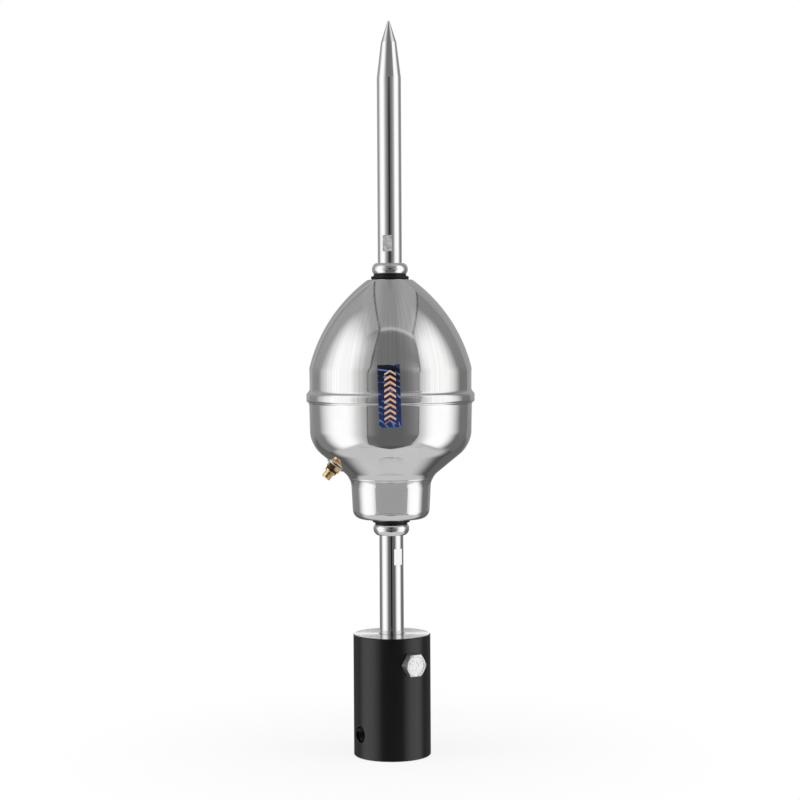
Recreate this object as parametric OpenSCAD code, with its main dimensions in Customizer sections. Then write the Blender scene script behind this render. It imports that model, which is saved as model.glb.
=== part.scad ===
// Lightning rod: pointed finial, insulated two-part shell head, support rod and mast adaptor
// Millimetres, +Z up, foot of the adaptor at z = 0, photographed side towards -Y
// The axis of the rods is the Z axis; turns are counted from the front, to the right when positive

/* [Mast adaptor] */
// Outer diameter of the black adaptor
adaptor_d = 58; // [54:0.1:66]
// Height of the adaptor
adaptor_h = 91.5; // [86:0.5:105]
// Edge break round its top, its foot and its two bores
adaptor_edge = 0.6; // [0.2:0.1:1.2]
// Bore that slips over the mast tube
mast_bore_d = 43; // [36:0.1:46]
// Depth of the mast bore from the foot
mast_bore_h = 46; // [38:1:50]
// Solid web between the mast bore and the rod socket
web_h = 9; // [6:0.5:12]
// Bore of the tapped hole for the mast screw
mast_hole_d = 12.4; // [8:0.1:13]
// Width of the countersink round that hole
mast_hole_sink = 0.6; // [0.3:0.1:1.5]
// Height of that hole above the foot
mast_hole_z = 18; // [14:0.5:24]
// Turn of that hole from the front
mast_hole_turn = -57; // [-75:1:-40]

/* [Clamp bolt] */
// Thread size of the bolt
bolt_d = 10; // [8:0.5:12]
// Width of the head across flats
bolt_af = 16; // [13:0.1:19]
// Height of the head
bolt_head_h = 6.4; // [5:0.1:8]
// Distance of the bolt below the top of the adaptor
bolt_drop = 19.6; // [15:0.1:24]
// Turn of the bolt from the front
bolt_turn = 31; // [10:1:60]

/* [Rods] */
// Diameter of finial and support rod
rod_d = 18; // [16:0.1:20]
// Stud on the end of each rod
stud_d = 12; // [10:0.1:14]
// Length of stud that screws into the core bar
stud_grip = 20; // [14:1:26]
// Length of the finial above its collar
finial_reach = 180.2; // [150:0.1:220]
// Length of the whole point
point_h = 42.2; // [36:0.1:50]
// Length of the steep nose at the end of the point
nose_h = 16; // [12:0.1:20]
// Diameter where nose and shallow cone meet
nose_d = 11.6; // [9:0.1:13]
// Diameter of the rounded tip
tip_d = 2; // [1:0.1:3]
// Visible length of the support rod
support_reach = 74.6; // [60:0.1:90]
// Width across the spanner flats
flat_af = 16.5; // [15:0.1:17]
// Height of the spanner flats
flat_h = 12; // [9:0.1:15]
// Distance from the upper collar to the flats of the finial
finial_flat_gap = 8.7; // [6:0.1:14]
// Distance from the lower collar to the flats of the support rod
support_flat_gap = 10.2; // [6:0.1:14]
// Turn of the flats on the finial
finial_flat_turn = -12.6; // [-45:0.1:45]
// Turn of the flats on the support rod
support_flat_turn = 37; // [0:0.5:60]

/* [Collars and seals] */
// Height of a collar
collar_h = 8.2; // [7:0.1:10]
// Greatest diameter of a collar
collar_d = 27; // [25:0.1:30]
// Radius of its full-round edge
collar_round = 5.4; // [5:0.1:6.5]
// Height of the widest line above the seal
collar_crest = 3.5; // [2.5:0.1:4.5]
// Depth of the recess that takes the end of the rod
collar_sink = 2; // [1:0.1:3]
// Height of a seal
seal_h = 4.1; // [3.6:0.1:5]
// Diameter of the rounded lip of a seal
seal_d = 28.5; // [26.5:0.1:31]
// Height of that lip
seal_lip_h = 2.8; // [2:0.1:3.2]
// Diameter of the waist between lip and collar
seal_waist_d = 24.4; // [22:0.1:25]

/* [Shell] */
// Sheet thickness of both shells
shell_t = 1; // [0.7:0.1:1.2]
// Height of the closed shell
body_h = 179.1; // [170:0.1:190]
// Height of the seam above the bottom of the shell
seam_h = 88; // [82:0.1:94]
// Diameter of the straight skirt of the dome
body_d = 122; // [112:0.1:132]
// Diameter of the hole in each end of the shell
port_d = 19.8; // [18.5:0.1:22]

/* [Dome] */
// Diameter of the flat land on top
land_d = 33.5; // [32:0.1:38]
// Radius round the edge of the land
shoulder_r = 2; // [1.4:0.1:4]
// Radius of the ogive
ogive_r = 115.6; // [105:0.1:140]
// Height of the skirt above the seam
skirt_h = 24.3; // [20:0.1:28]
// Radius between ogive and skirt
knee_r = 18; // [12:0.5:24]
// Height of the bead above the seam
bead_h = 9.7; // [9:0.1:12]
// How far the bead stands out of the skirt
bead_rise = 2.4; // [2:0.1:3.2]
// Radius of each of the two curves that lead out to the bead
bead_blend = 3.8; // [3:0.1:4.4]
// Radius of the inward curl at the lip
lip_r = 2.2; // [1.6:0.1:2.8]
// Angle through which the lip curls
lip_a = 50; // [35:1:60]

/* [Bowl] */
// Length of rim tucked into the bead
rim_lap = 4; // [2.5:0.1:4.5]
// Joggle from the rim in to the wall
step_in = 0.5; // [0.3:0.1:1.1]
// Radius of each of the two curves of that joggle
step_blend = 1.6; // [1.3:0.1:2]
// Draft of the wall, in degrees
wall_draft = 2.2; // [0.5:0.1:4]
// Radius between wall and cone
bowl_r = 25; // [18:0.5:30]
// Slope of the cone from upright, in degrees
cone_a = 50.7; // [45:0.1:56]
// Radius between cone and neck
neck_r = 15; // [12:0.5:24]
// Height of the corner of cone and neck above the bottom
neck_h = 30.7; // [27:0.1:34]
// Diameter of the neck at the bottom
neck_d = 57; // [52:0.1:62]
// Draft of the neck, in degrees
neck_draft = 3; // [1:0.1:5]
// Radius round the bottom edge
foot_r = 7; // [4:0.1:9]

/* [Label] */
// Width of the label
label_w = 16.1; // [12:0.1:20]
// Height of the label
label_h = 45.1; // [38:0.1:50]
// Height of its middle above the seam
label_lift = 6.1; // [3:0.1:9]
// Lean of the label, in degrees
label_tilt = -1.6; // [-4:0.1:4]
// Turn of the label from the front
label_turn = -0.5; // [-10:0.1:10]
// Thickness of the label
label_t = 0.2; // [0.1:0.05:0.4]

/* [Test jack] */
// Distance of the jack from the axis, on the cone
jack_r = 42.5; // [40:0.1:45]
// Turn of the jack from the front
jack_turn = -77; // [-110:1:-40]
// Diameter of its washer
jack_washer_d = 14.2; // [12:0.1:16]
// Thickness of its washer
jack_washer_t = 0.8; // [0.5:0.1:1.2]
// Width of its hexagon across flats
jack_af = 9.8; // [9.4:0.1:10.8]
// Height of its hexagon
jack_hex_h = 3.4; // [2.5:0.1:4]
// Diameter of its black ring
jack_ring_d = 9.1; // [8.6:0.1:9.3]
// Height of its black ring
jack_ring_h = 1.3; // [0.9:0.1:1.6]
// Diameter of its flange
jack_flange_d = 9; // [8.4:0.1:9.3]
// Height of its flange
jack_flange_h = 1.2; // [0.8:0.1:1.6]
// Diameter of its barrel
jack_barrel_d = 6.6; // [6.2:0.1:7]
// Length of its barrel
jack_barrel_h = 5.3; // [4:0.1:7]
// Diameter of the threaded tail
jack_tail_d = 6.4; // [6:0.1:6.6]
// Length of tail inside the shell
jack_tail_h = 6; // [5:0.1:8]
// Bore of the jack
jack_bore_d = 4.8; // [4.2:0.1:5]
// Diameter of the centre contact
contact_d = 2; // [1.6:0.1:2.4]
// Thickness of the solder tag
tag_t = 0.6; // [0.4:0.1:0.8]
// Height of the nut inside the shell
back_nut_h = 2.4; // [2:0.1:3]

/* [Inside] */
// Diameter of the core bar
core_d = 24; // [20:0.1:27]
// Height of the flange of a bush
bush_h = 3; // [2:0.1:4]
// How far that flange reaches past the hole in the shell
bush_lip = 6; // [5:0.1:7]
// Height of the cup of the pulse unit
case_h = 34; // [30:0.5:37]
// Wall of that cup
case_t = 1.5; // [1:0.1:2.5]
// Space between cup and neck
case_gap = 2; // [1.5:0.1:3]
// Depth of the resin below the rim of the cup
fill_drop = 3; // [2:0.1:5]
// Thickness of the retaining ring
clip_t = 1.2; // [1:0.1:1.5]
// Diameter of the two leads
lead_d = 1.6; // [1.2:0.1:1.8]

/* [Fits] */
// Gap all round between pieces that slide into one another
slip = 0.05; // [0.03:0.01:0.15]
// Film of glue under the label
glue = 0.02; // [0.01:0.01:0.1]

/* [Hidden] */
$fn = 96;

// Radii that several pieces share
adaptor_r = adaptor_d / 2;
mast_bore_r = mast_bore_d / 2;
rod_r = rod_d / 2;
stud_r = stud_d / 2;
body_r = body_d / 2;
port_r = port_d / 2;
core_r = core_d / 2;
bush_r = port_r + bush_lip;
case_r = neck_d / 2 - shell_t - case_gap;
tube_r = core_r + slip + case_t;
clip_groove = clip_t / 2;

// Levels, from the foot upwards
z_seat = mast_bore_h + web_h;
z_low_collar = adaptor_h + support_reach;
z_low_seal = z_low_collar + collar_h;
z_body = z_low_seal + seal_h;
z_seam = z_body + seam_h;
z_top = z_body + body_h;
z_up_collar = z_top + seal_h;
z_finial = z_up_collar + collar_h;
z_tip = z_finial + finial_reach;
z_core_low = z_body + shell_t + bush_h;
z_core_top = z_top - shell_t - bush_h;
z_fill_top = z_core_low + case_h - fill_drop;
z_clip = z_core_low + case_h;

// Dome: the ogive runs from the edge of the land to the top of the skirt
land_pt = [land_d / 2, z_top];
skirt_pt = [body_r, z_seam + skirt_h];
chord = land_pt - skirt_pt;
ogive_off = sqrt(pow(ogive_r, 2) - pow(norm(chord) / 2, 2));
ogive_c = (land_pt + skirt_pt) / 2 + [-chord[1], chord[0]] * ogive_off / norm(chord);
shoulder_z = z_top - shoulder_r;
shoulder_x = sqrt(pow(ogive_r - shoulder_r, 2) - pow(shoulder_z - ogive_c[1], 2));
shoulder_c = [ogive_c[0] + shoulder_x, shoulder_z];
shoulder_a = atan2(shoulder_z - ogive_c[1], shoulder_x);
knee_x = body_r - knee_r - ogive_c[0];
knee_z = sqrt(pow(ogive_r - knee_r, 2) - pow(knee_x, 2));
knee_c = [body_r - knee_r, ogive_c[1] + knee_z];
knee_a = atan2(knee_z, knee_x);

// Bead: two opposite curves lead out to it, and its lip curls in at the seam
bead_r = body_r + bead_rise;
z_bead = z_seam + bead_h;
bead_a = acos(1 - bead_rise / (2 * bead_blend));
bead_c = [bead_r - bead_blend, z_bead - 2 * bead_blend * sin(bead_a)];
lip_c = [bead_r - lip_r, z_seam + lip_r * sin(lip_a)];

// Bowl: the rim slides into the lip, the wall runs down to cone, neck and foot
rim_r = lip_c[0] + (lip_r - shell_t) * cos(lip_a) - slip;
z_rim = z_seam + rim_lap;
step_a = acos((step_blend * (1 + cos(wall_draft)) - step_in) / (2 * step_blend));
step_c = [rim_r - step_blend + 2 * step_blend * cos(step_a), z_seam - 2 * step_blend * sin(step_a)];
wall_pt = step_c + step_blend * [-cos(wall_draft), sin(wall_draft)];
neck_pt = [neck_d / 2 + neck_h * tan(neck_draft), z_body + neck_h];
bowl_z = (wall_pt[0] - neck_pt[0] - wall_pt[1] * tan(wall_draft) + neck_pt[1] * tan(cone_a))
    / (tan(cone_a) - tan(wall_draft));
bowl_pt = [neck_pt[0] + (bowl_z - neck_pt[1]) * tan(cone_a), bowl_z];
bowl_cut = bowl_r * tan((cone_a - wall_draft) / 2);
bowl_c = bowl_pt + bowl_cut * [sin(wall_draft), cos(wall_draft)]
    + bowl_r * [-cos(wall_draft), sin(wall_draft)];
neck_cut = neck_r * tan((cone_a - neck_draft) / 2);
neck_c = neck_pt - neck_cut * [sin(neck_draft), cos(neck_draft)]
    + neck_r * [cos(neck_draft), -sin(neck_draft)];
foot_c = [neck_d / 2 + foot_r * tan(neck_draft) - foot_r / cos(neck_draft), z_body + foot_r];

// Jack: levels along its own axis, counted outwards from the shell
jack_z = neck_pt[1] + (jack_r - neck_pt[0]) / tan(cone_a);
jack_hex_top = jack_washer_t + jack_hex_h;
jack_flange_low = jack_hex_top + jack_ring_h;
jack_flange_top = jack_flange_low + jack_flange_h;
jack_end = jack_flange_top + jack_barrel_h;
groove_r = jack_ring_d / 2 - 1.2;
tag_r = jack_tail_d / 2 + 1.8;
ear_y = tag_r + 2.2;
ear_x = 2;
jack_curve = jack_r / cos(cone_a) - shell_t;
tag_out = -shell_t - jack_curve + sqrt(pow(jack_curve, 2) - pow(tag_r, 2)) - slip;
tag_in = tag_out - tag_t;
contact_in = -jack_tail_h - 3;
contact_out = jack_end - 1;

// Points of an arc from angle a0 to angle a1, with both ends
function arc(c, r, a0, a1, n) =
    [for (i = [0:n]) c + r * [cos(a0 + (a1 - a0) * i / n), sin(a0 + (a1 - a0) * i / n)]];

// The same arc without its first point, to carry on from another arc
function arc_on(c, r, a0, a1, n) =
    [for (i = [1:n]) c + r * [cos(a0 + (a1 - a0) * i / n), sin(a0 + (a1 - a0) * i / n)]];

// A line run backwards
function back(line) = [for (i = [len(line) - 1:-1:0]) line[i]];

// Section of the dome at depth d under its outer face
function dome_line(d) = concat(
    [[port_r, z_top - d]],
    arc(shoulder_c, shoulder_r - d, 90, shoulder_a, 6),
    arc_on(ogive_c, ogive_r - d, shoulder_a, knee_a, 30),
    arc_on(knee_c, knee_r - d, knee_a, 0, 8),
    arc([body_r + bead_blend, z_bead], bead_blend + d, 180, 180 + bead_a, 8),
    arc_on(bead_c, bead_blend - d, bead_a, 0, 8),
    arc(lip_c, lip_r - d, 0, -lip_a, 8));

// Section of the bowl at depth d under its outer face
function bowl_line(d) = concat(
    [[rim_r - d, z_rim]],
    arc([rim_r - step_blend, z_seam], step_blend - d, 0, -step_a, 6),
    arc_on(step_c, step_blend + d, 180 - step_a, 180 - wall_draft, 6),
    arc(bowl_c, bowl_r - d, -wall_draft, -cone_a, 18),
    arc(neck_c, neck_r + d, 180 - cone_a, 180 - neck_draft, 18),
    arc(foot_c, foot_r - d, -neck_draft, -90, 12),
    [[port_r, z_body + d]]);

// Section of the label at height d above the shell: it bridges the hollow above and below the bead
label_up_a = 25;
label_low_a = 20;
function wall_at(z) = wall_pt[0] - (wall_pt[1] - z) * tan(wall_draft);
function label_tent(d) = lip_c + (lip_r + d) * [cos(label_low_a), -sin(label_low_a)];
label_foot_z = (lip_c[1] - lip_r * sin(label_low_a))
    - (lip_c[0] + lip_r * cos(label_low_a) - wall_pt[0]) / tan(label_low_a);
function label_line(d) = let (
        p = bead_c + (bead_blend + d) * [cos(label_up_a), sin(label_up_a)],
        rise = (p[0] - body_r - d) / tan(label_up_a))
    concat(
        arc(ogive_c, ogive_r + d, knee_a + 14, knee_a, 10),
        arc_on(knee_c, knee_r + d, knee_a, 0, 8),
        [[body_r + d, p[1] + rise]],
        arc(bead_c, bead_blend + d, label_up_a, 0, 6),
        arc(lip_c, lip_r + d, 0, -label_low_a, 4),
        [[wall_at(label_foot_z) + d, label_foot_z], [wall_at(bowl_c[1]) + d, bowl_c[1]]]);

// Stands a piece on the side of the adaptor, its own +Z pointing outwards
module at_side(turn, z) {
    rotate([0, 0, turn]) translate([0, 0, z]) rotate([90, 0, 0]) children();
}

// Stands a piece on the cone of the bowl, its own +Z along the outward normal
module at_jack() {
    rotate([0, 0, jack_turn]) translate([0, -jack_r, jack_z]) rotate([90 + cone_a, 0, 0]) children();
}

// Upright plane through the jack: x is the distance from the axis, y the height
module in_jack_plane() {
    rotate([0, 0, jack_turn]) rotate([90, 0, -90]) children();
}

// Hexagonal bar with its outer end turned to a cone
module hex_head(af, h) {
    intersection() {
        cylinder(d = af / cos(30), h = h, $fn = 6);
        cylinder(r1 = af * 0.475 + h * 2, r2 = af * 0.475, h = h);
    }
}

// Pair of spanner flats cut into a rod between z and z + flat_h
module flats(z, turn) {
    rotate([0, 0, turn]) translate([-rod_r, flat_af / 2, z]) cube([rod_d, rod_r, flat_h]);
    rotate([0, 0, turn]) translate([-rod_r, -flat_af / 2 - rod_r, z]) cube([rod_d, rod_r, flat_h]);
}

// Collar standing on z = 0, seal side down
module collar() {
    rotate_extrude() difference() {
        intersection() {
            square([collar_d / 2, collar_h]);
            union() {
                square([collar_d / 2 - collar_round, collar_h]);
                translate([collar_d / 2 - collar_round, collar_crest]) circle(collar_round);
            }
        }
        translate([0, -1]) square([stud_r + slip, collar_h + 2]);
        translate([0, collar_h - collar_sink]) square([rod_r + slip, collar_sink + 1]);
    }
}

// Seal standing on z = 0, shell side down
module seal() {
    lip_half = seal_lip_h / 2;
    rotate_extrude() difference() {
        union() {
            square([seal_waist_d / 2, seal_h]);
            square([seal_d / 2 - lip_half, seal_lip_h]);
            translate([seal_d / 2 - lip_half, lip_half]) circle(lip_half);
        }
        translate([0, -1]) square([stud_r + slip, seal_h + 2]);
    }
}

// Bush standing on the core bar at z = 0, its spigot filling the hole in the shell
module bush() {
    difference() {
        union() {
            cylinder(r = bush_r, h = bush_h);
            cylinder(r = port_r - slip, h = bush_h + shell_t);
        }
        translate([0, 0, -1]) cylinder(r = stud_r + slip, h = bush_h + shell_t + 2);
    }
}

// Lead that leaves point s along the axis of the jack and arches over into the resin
module lead(s, off) {
    drop_r = (tube_r + case_r - case_t) / 2;
    bend = (s[0] - drop_r) / (1 + sin(cone_a));
    c = s - bend * [sin(cone_a), cos(cone_a)];
    in_jack_plane() translate([0, 0, -off]) difference() {
        translate(c) rotate([0, 0, 90 - cone_a]) rotate_extrude(angle = 150 + cone_a)
            translate([bend, 0]) circle(d = lead_d);
        translate([0, z_fill_top - case_h, -lead_d]) cube([2 * case_r, case_h, 2 * lead_d]);
    }
}

// Polished finial: stud, shoulder, parallel bar and two-stage point with a rounded tip
module finial_rod() {
    tip_r = tip_d / 2;
    nose_a = atan2(nose_d / 2 - tip_r, nose_h - tip_r);
    low = z_core_top - stud_grip;
    color([0.8, 0.8, 0.82]) difference() {
        rotate_extrude() polygon(concat(
            [[0, low], [stud_r - 0.8, low], [stud_r, low + 0.8], [stud_r, z_finial - collar_sink]],
            [[rod_r, z_finial - collar_sink], [rod_r, z_tip - point_h], [nose_d / 2, z_tip - nose_h]],
            arc([0, z_tip - tip_r], tip_r, nose_a, 90, 8)));
        flats(z_finial + finial_flat_gap, finial_flat_turn);
    }
}

// Polished ring between finial and upper seal
module upper_collar() {
    color([0.85, 0.85, 0.87]) translate([0, 0, z_up_collar]) collar();
}

// Rubber seal on the land of the dome
module upper_seal() {
    color([0.08, 0.08, 0.08]) translate([0, 0, z_top]) seal();
}

// Insulating bush under the land of the dome
module upper_bush() {
    color([0.9, 0.88, 0.8]) translate([0, 0, z_core_top]) bush();
}

// Spun dome with skirt and beaded lip
module upper_shell() {
    color([0.78, 0.78, 0.8]) rotate_extrude() polygon(concat(dome_line(0), back(dome_line(shell_t))));
}

// Spun bowl with neck, pierced for the jack
module lower_shell() {
    color([0.76, 0.76, 0.78]) difference() {
        rotate_extrude() polygon(concat(bowl_line(0), back(bowl_line(shell_t))));
        at_jack() translate([0, 0, -4 * shell_t]) cylinder(d = jack_tail_d + 4 * slip, h = 8 * shell_t);
    }
}

// Adhesive label bent over the bead
module label() {
    color([0.08, 0.16, 0.4]) intersection() {
        rotate([0, 0, 255]) rotate_extrude(angle = 30)
            polygon(concat(label_line(glue), back(label_line(glue + label_t))));
        rotate([0, 0, label_turn]) translate([0, -body_r, z_seam + label_lift])
            rotate([0, label_tilt, 0]) cube([label_w, body_r, label_h], center = true);
    }
}

// Earthed bar between the two studs, with a groove for the retaining ring
module core_bar() {
    deep = stud_grip + 3;
    color([0.7, 0.7, 0.72]) difference() {
        translate([0, 0, z_core_low]) cylinder(r = core_r, h = z_core_top - z_core_low);
        translate([0, 0, z_core_low - 1]) cylinder(r = stud_r + slip, h = deep + 1);
        translate([0, 0, z_core_top - deep]) cylinder(r = stud_r + slip, h = deep + 1);
        translate([0, 0, z_clip]) rotate_extrude()
            translate([core_r - clip_groove, 0]) square([clip_groove + 1, clip_t + slip]);
    }
}

// Insulating bush on the floor of the bowl
module lower_bush() {
    color([0.9, 0.88, 0.8]) translate([0, 0, z_core_low]) mirror([0, 0, 1]) bush();
}

// Rubber seal under the bowl
module lower_seal() {
    color([0.08, 0.08, 0.08]) translate([0, 0, z_body]) mirror([0, 0, 1]) seal();
}

// Polished ring between support rod and lower seal
module lower_collar() {
    color([0.85, 0.85, 0.87]) translate([0, 0, z_low_seal]) mirror([0, 0, 1]) collar();
}

// Polished support rod with spanner flats and a stud
module support_rod() {
    high = z_core_low + stud_grip;
    shoulder = z_low_collar + collar_sink;
    color([0.8, 0.8, 0.82]) difference() {
        rotate_extrude() polygon([[0, z_seat], [rod_r - 1, z_seat], [rod_r, z_seat + 1], [rod_r, shoulder],
            [stud_r, shoulder], [stud_r, high - 0.8], [stud_r - 0.8, high], [0, high]]);
        flats(z_low_collar - support_flat_gap - flat_h, support_flat_turn);
    }
}

// Black sleeve: rod socket above, mast bore below, one tapped hole into each
module mast_adaptor() {
    e = adaptor_edge;
    hole_r = mast_hole_d / 2;
    socket_r = rod_r + slip;
    color([0.06, 0.06, 0.06]) difference() {
        rotate_extrude() polygon([[mast_bore_r + e, 0], [adaptor_r - e, 0], [adaptor_r, e],
            [adaptor_r, adaptor_h - e], [adaptor_r - e, adaptor_h], [socket_r + e, adaptor_h],
            [socket_r, adaptor_h - e], [socket_r, z_seat], [0, z_seat], [0, mast_bore_h],
            [mast_bore_r, mast_bore_h], [mast_bore_r, e]]);
        at_side(bolt_turn, adaptor_h - bolt_drop) cylinder(d = bolt_d + 2 * slip, h = adaptor_r + 1);
        at_side(mast_hole_turn, mast_hole_z) cylinder(r = hole_r, h = adaptor_r + 1);
        at_side(mast_hole_turn, mast_hole_z) translate([0, 0, adaptor_r - mast_hole_sink])
            cylinder(r1 = hole_r, r2 = hole_r + 2 * mast_hole_sink, h = 2 * mast_hole_sink);
    }
}

// Hexagon bolt whose end bears on the support rod
module clamp_bolt() {
    color([0.8, 0.8, 0.78]) at_side(bolt_turn, adaptor_h - bolt_drop) {
        translate([0, 0, rod_r]) cylinder(d1 = bolt_d - 2, d2 = bolt_d, h = 1);
        translate([0, 0, rod_r + 1]) cylinder(d = bolt_d, h = adaptor_r - rod_r - 1);
        translate([0, 0, adaptor_r]) hex_head(bolt_af, bolt_head_h);
    }
}

// Plain washer between bowl and jack
module jack_washer() {
    color([0.75, 0.75, 0.75]) at_jack() difference() {
        cylinder(d = jack_washer_d, h = jack_washer_t);
        translate([0, 0, -1]) cylinder(d = jack_tail_d + 2 * slip, h = jack_washer_t + 2);
    }
}

// Turned jack: threaded tail, hexagon, groove, flange and barrel round one bore
module jack_body() {
    color([0.83, 0.62, 0.25]) at_jack() difference() {
        union() {
            translate([0, 0, -jack_tail_h]) cylinder(d = jack_tail_d, h = jack_tail_h + jack_washer_t);
            translate([0, 0, jack_washer_t]) hex_head(jack_af, jack_hex_h);
            translate([0, 0, jack_hex_top]) cylinder(r = groove_r, h = jack_ring_h);
            translate([0, 0, jack_flange_low]) cylinder(d = jack_flange_d, h = jack_flange_h);
            translate([0, 0, jack_flange_top]) cylinder(d = jack_barrel_d, h = jack_barrel_h);
        }
        translate([0, 0, -jack_tail_h - 1]) cylinder(d = jack_bore_d, h = jack_tail_h + jack_end + 2);
    }
}

// Black ring sprung into the groove of the jack
module jack_ring() {
    color([0.05, 0.05, 0.05]) at_jack() translate([0, 0, jack_hex_top]) difference() {
        cylinder(d = jack_ring_d, h = jack_ring_h);
        translate([0, 0, -1]) cylinder(r = groove_r + slip, h = jack_ring_h + 2);
    }
}

// Insulating core that carries the centre contact
module jack_insulator() {
    color([0.93, 0.93, 0.9]) at_jack() translate([0, 0, -jack_tail_h]) difference() {
        cylinder(d = jack_bore_d - 2 * slip, h = jack_tail_h + jack_flange_top);
        translate([0, 0, -1]) cylinder(d = contact_d + 2 * slip, h = jack_tail_h + jack_flange_top + 2);
    }
}

// Centre contact, hollow at its outer end
module jack_contact() {
    color([0.85, 0.68, 0.3]) at_jack() difference() {
        translate([0, 0, contact_in]) cylinder(d = contact_d, h = contact_out - contact_in);
        translate([0, 0, contact_out - 4]) cylinder(d = contact_d * 0.6, h = 5);
    }
}

// Solder tag against the inside of the bowl, its ear pointing up the cone
module jack_tag() {
    color([0.8, 0.75, 0.6]) at_jack() translate([0, 0, tag_in]) difference() {
        union() {
            cylinder(r = tag_r, h = tag_t);
            translate([-ear_x - 1.2, 0, 0]) cube([2 * ear_x + 2.4, ear_y + 1.4, tag_t]);
        }
        translate([0, 0, -1]) cylinder(d = jack_tail_d + 2 * slip, h = tag_t + 2);
    }
}

// Nut that draws the jack against the bowl
module jack_back_nut() {
    color([0.8, 0.6, 0.25]) at_jack() translate([0, 0, tag_in]) mirror([0, 0, 1]) difference() {
        hex_head(tag_r * 1.7, back_nut_h);
        translate([0, 0, -1]) cylinder(d = jack_tail_d + 2 * slip, h = back_nut_h + 2);
    }
}

// Cup of the pulse unit, with a tube round the core bar
module pulse_case() {
    in_r = core_r + slip;
    rim = z_core_low + case_h;
    floor_z = z_core_low + case_t;
    color([0.15, 0.15, 0.17]) rotate_extrude() polygon([[in_r, z_core_low], [case_r, z_core_low],
        [case_r, rim], [case_r - case_t, rim], [case_r - case_t, floor_z], [tube_r, floor_z],
        [tube_r, rim], [in_r, rim]]);
}

// Resin that fills the cup and holds the circuit
module pulse_fill() {
    color([0.25, 0.22, 0.2]) translate([0, 0, z_core_low + case_t]) difference() {
        cylinder(r = case_r - case_t, h = z_fill_top - z_core_low - case_t);
        translate([0, 0, -1]) cylinder(r = tube_r, h = case_h);
    }
}

// Open retaining ring in the groove of the core bar, on top of the cup
module pulse_clip() {
    color([0.6, 0.6, 0.62]) translate([0, 0, z_clip]) rotate([0, 0, 20]) rotate_extrude(angle = 320)
        translate([core_r - clip_groove + slip, 0]) square([clip_groove + case_t + 1, clip_t]);
}

// Lead from the centre contact to the resin
module test_lead() {
    color([0.7, 0.1, 0.08]) lead([jack_r, jack_z] + contact_in * [cos(cone_a), -sin(cone_a)], 0);
}

// Lead from the solder tag to the resin
module shell_lead() {
    s = [jack_r, jack_z] + tag_in * [cos(cone_a), -sin(cone_a)] + ear_y * [sin(cone_a), cos(cone_a)];
    color([0.1, 0.1, 0.1]) lead(s, ear_x);
}

finial_rod();
upper_collar();
upper_seal();
upper_bush();
upper_shell();
lower_shell();
label();
core_bar();
lower_bush();
lower_seal();
lower_collar();
support_rod();
mast_adaptor();
clamp_bolt();
jack_washer();
jack_body();
jack_ring();
jack_insulator();
jack_contact();
jack_tag();
jack_back_nut();
pulse_case();
pulse_fill();
pulse_clip();
test_lead();
shell_lead();
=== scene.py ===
# %% [markdown]
# # A lightning rod with a spun steel head
# The real object is a polished rod with a point, a hollow egg-shaped steel head that hides a
# pulse unit, a support rod and a black sleeve that slips over a mast tube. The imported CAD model
# is loaded first and stays fixed, so every finer piece made here has its place from it.

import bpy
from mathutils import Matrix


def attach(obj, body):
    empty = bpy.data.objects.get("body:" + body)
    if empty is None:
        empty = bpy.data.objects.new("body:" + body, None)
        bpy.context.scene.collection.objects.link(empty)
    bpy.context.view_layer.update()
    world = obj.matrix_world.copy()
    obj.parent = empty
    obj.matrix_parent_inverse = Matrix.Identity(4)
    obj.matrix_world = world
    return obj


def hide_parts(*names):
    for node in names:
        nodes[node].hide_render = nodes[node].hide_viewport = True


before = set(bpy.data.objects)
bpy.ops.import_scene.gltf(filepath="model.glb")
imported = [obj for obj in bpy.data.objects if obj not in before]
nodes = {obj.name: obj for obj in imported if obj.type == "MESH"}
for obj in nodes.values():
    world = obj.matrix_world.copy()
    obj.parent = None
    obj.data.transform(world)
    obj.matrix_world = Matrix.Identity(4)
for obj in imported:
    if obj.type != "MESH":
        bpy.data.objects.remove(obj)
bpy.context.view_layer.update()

# %% Tools and units
import math

import bmesh
import bpy
from mathutils import Matrix, Vector

MM = 0.001
scene = bpy.context.scene
scene.view_settings.view_transform = "Standard"


def turn(degrees, axis="Z"):
    return Matrix.Rotation(math.radians(degrees), 4, axis)


def link(name, data):
    """Puts a mesh, a lamp or a camera into the scene."""
    thing = bpy.data.objects.new(name, data)
    scene.collection.objects.link(thing)
    return thing


def mesh_of(bm, name, materials=()):
    """Turns a bmesh into a mesh and frees it."""
    mesh = bpy.data.meshes.new(name)
    bm.to_mesh(mesh)
    bm.free()
    for material in materials:
        mesh.materials.append(material)
    return mesh


# %% [markdown]
# ## The camera
# The photograph is a catalogue picture: one long lens, the eye a little above the middle of the
# head. The rod's rings bend upwards slightly, which gives the height of the eye. A pitch of two
# degrees frames it; a shift of the lens could do that too, but a plain pitch survives a change
# of view.

# %% Camera
EYE_AWAY = 1.462
EYE_HEIGHT = 0.322
EYE_RIGHT = 0.00705
LENS_MM = 87.75
SENSOR_MM = 36.0
PITCH_DOWN = 2.14
ROLL = -0.305

camera = link("camera", bpy.data.cameras.new("camera"))
camera.data.lens = LENS_MM
camera.data.sensor_width = SENSOR_MM
aim = turn(90 - PITCH_DOWN, "X") @ turn(ROLL)
camera.matrix_world = Matrix.Translation((EYE_RIGHT, -EYE_AWAY, EYE_HEIGHT)) @ aim
scene.camera = camera
print("camera at", tuple(round(v, 4) for v in camera.location))

# %% [markdown]
# ## Helpers for shader nodes
# Each finish below is a small tree of nodes. One helper adds a node, sets its options and either
# links or fills its inputs. The others are the sums that the trees need most: a product, a fade
# from one value to another, and mixes of values, colours and shaders. Writing each node out in
# full would do the same, but would hide the idea behind the plumbing.

# %% Node helper


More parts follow.
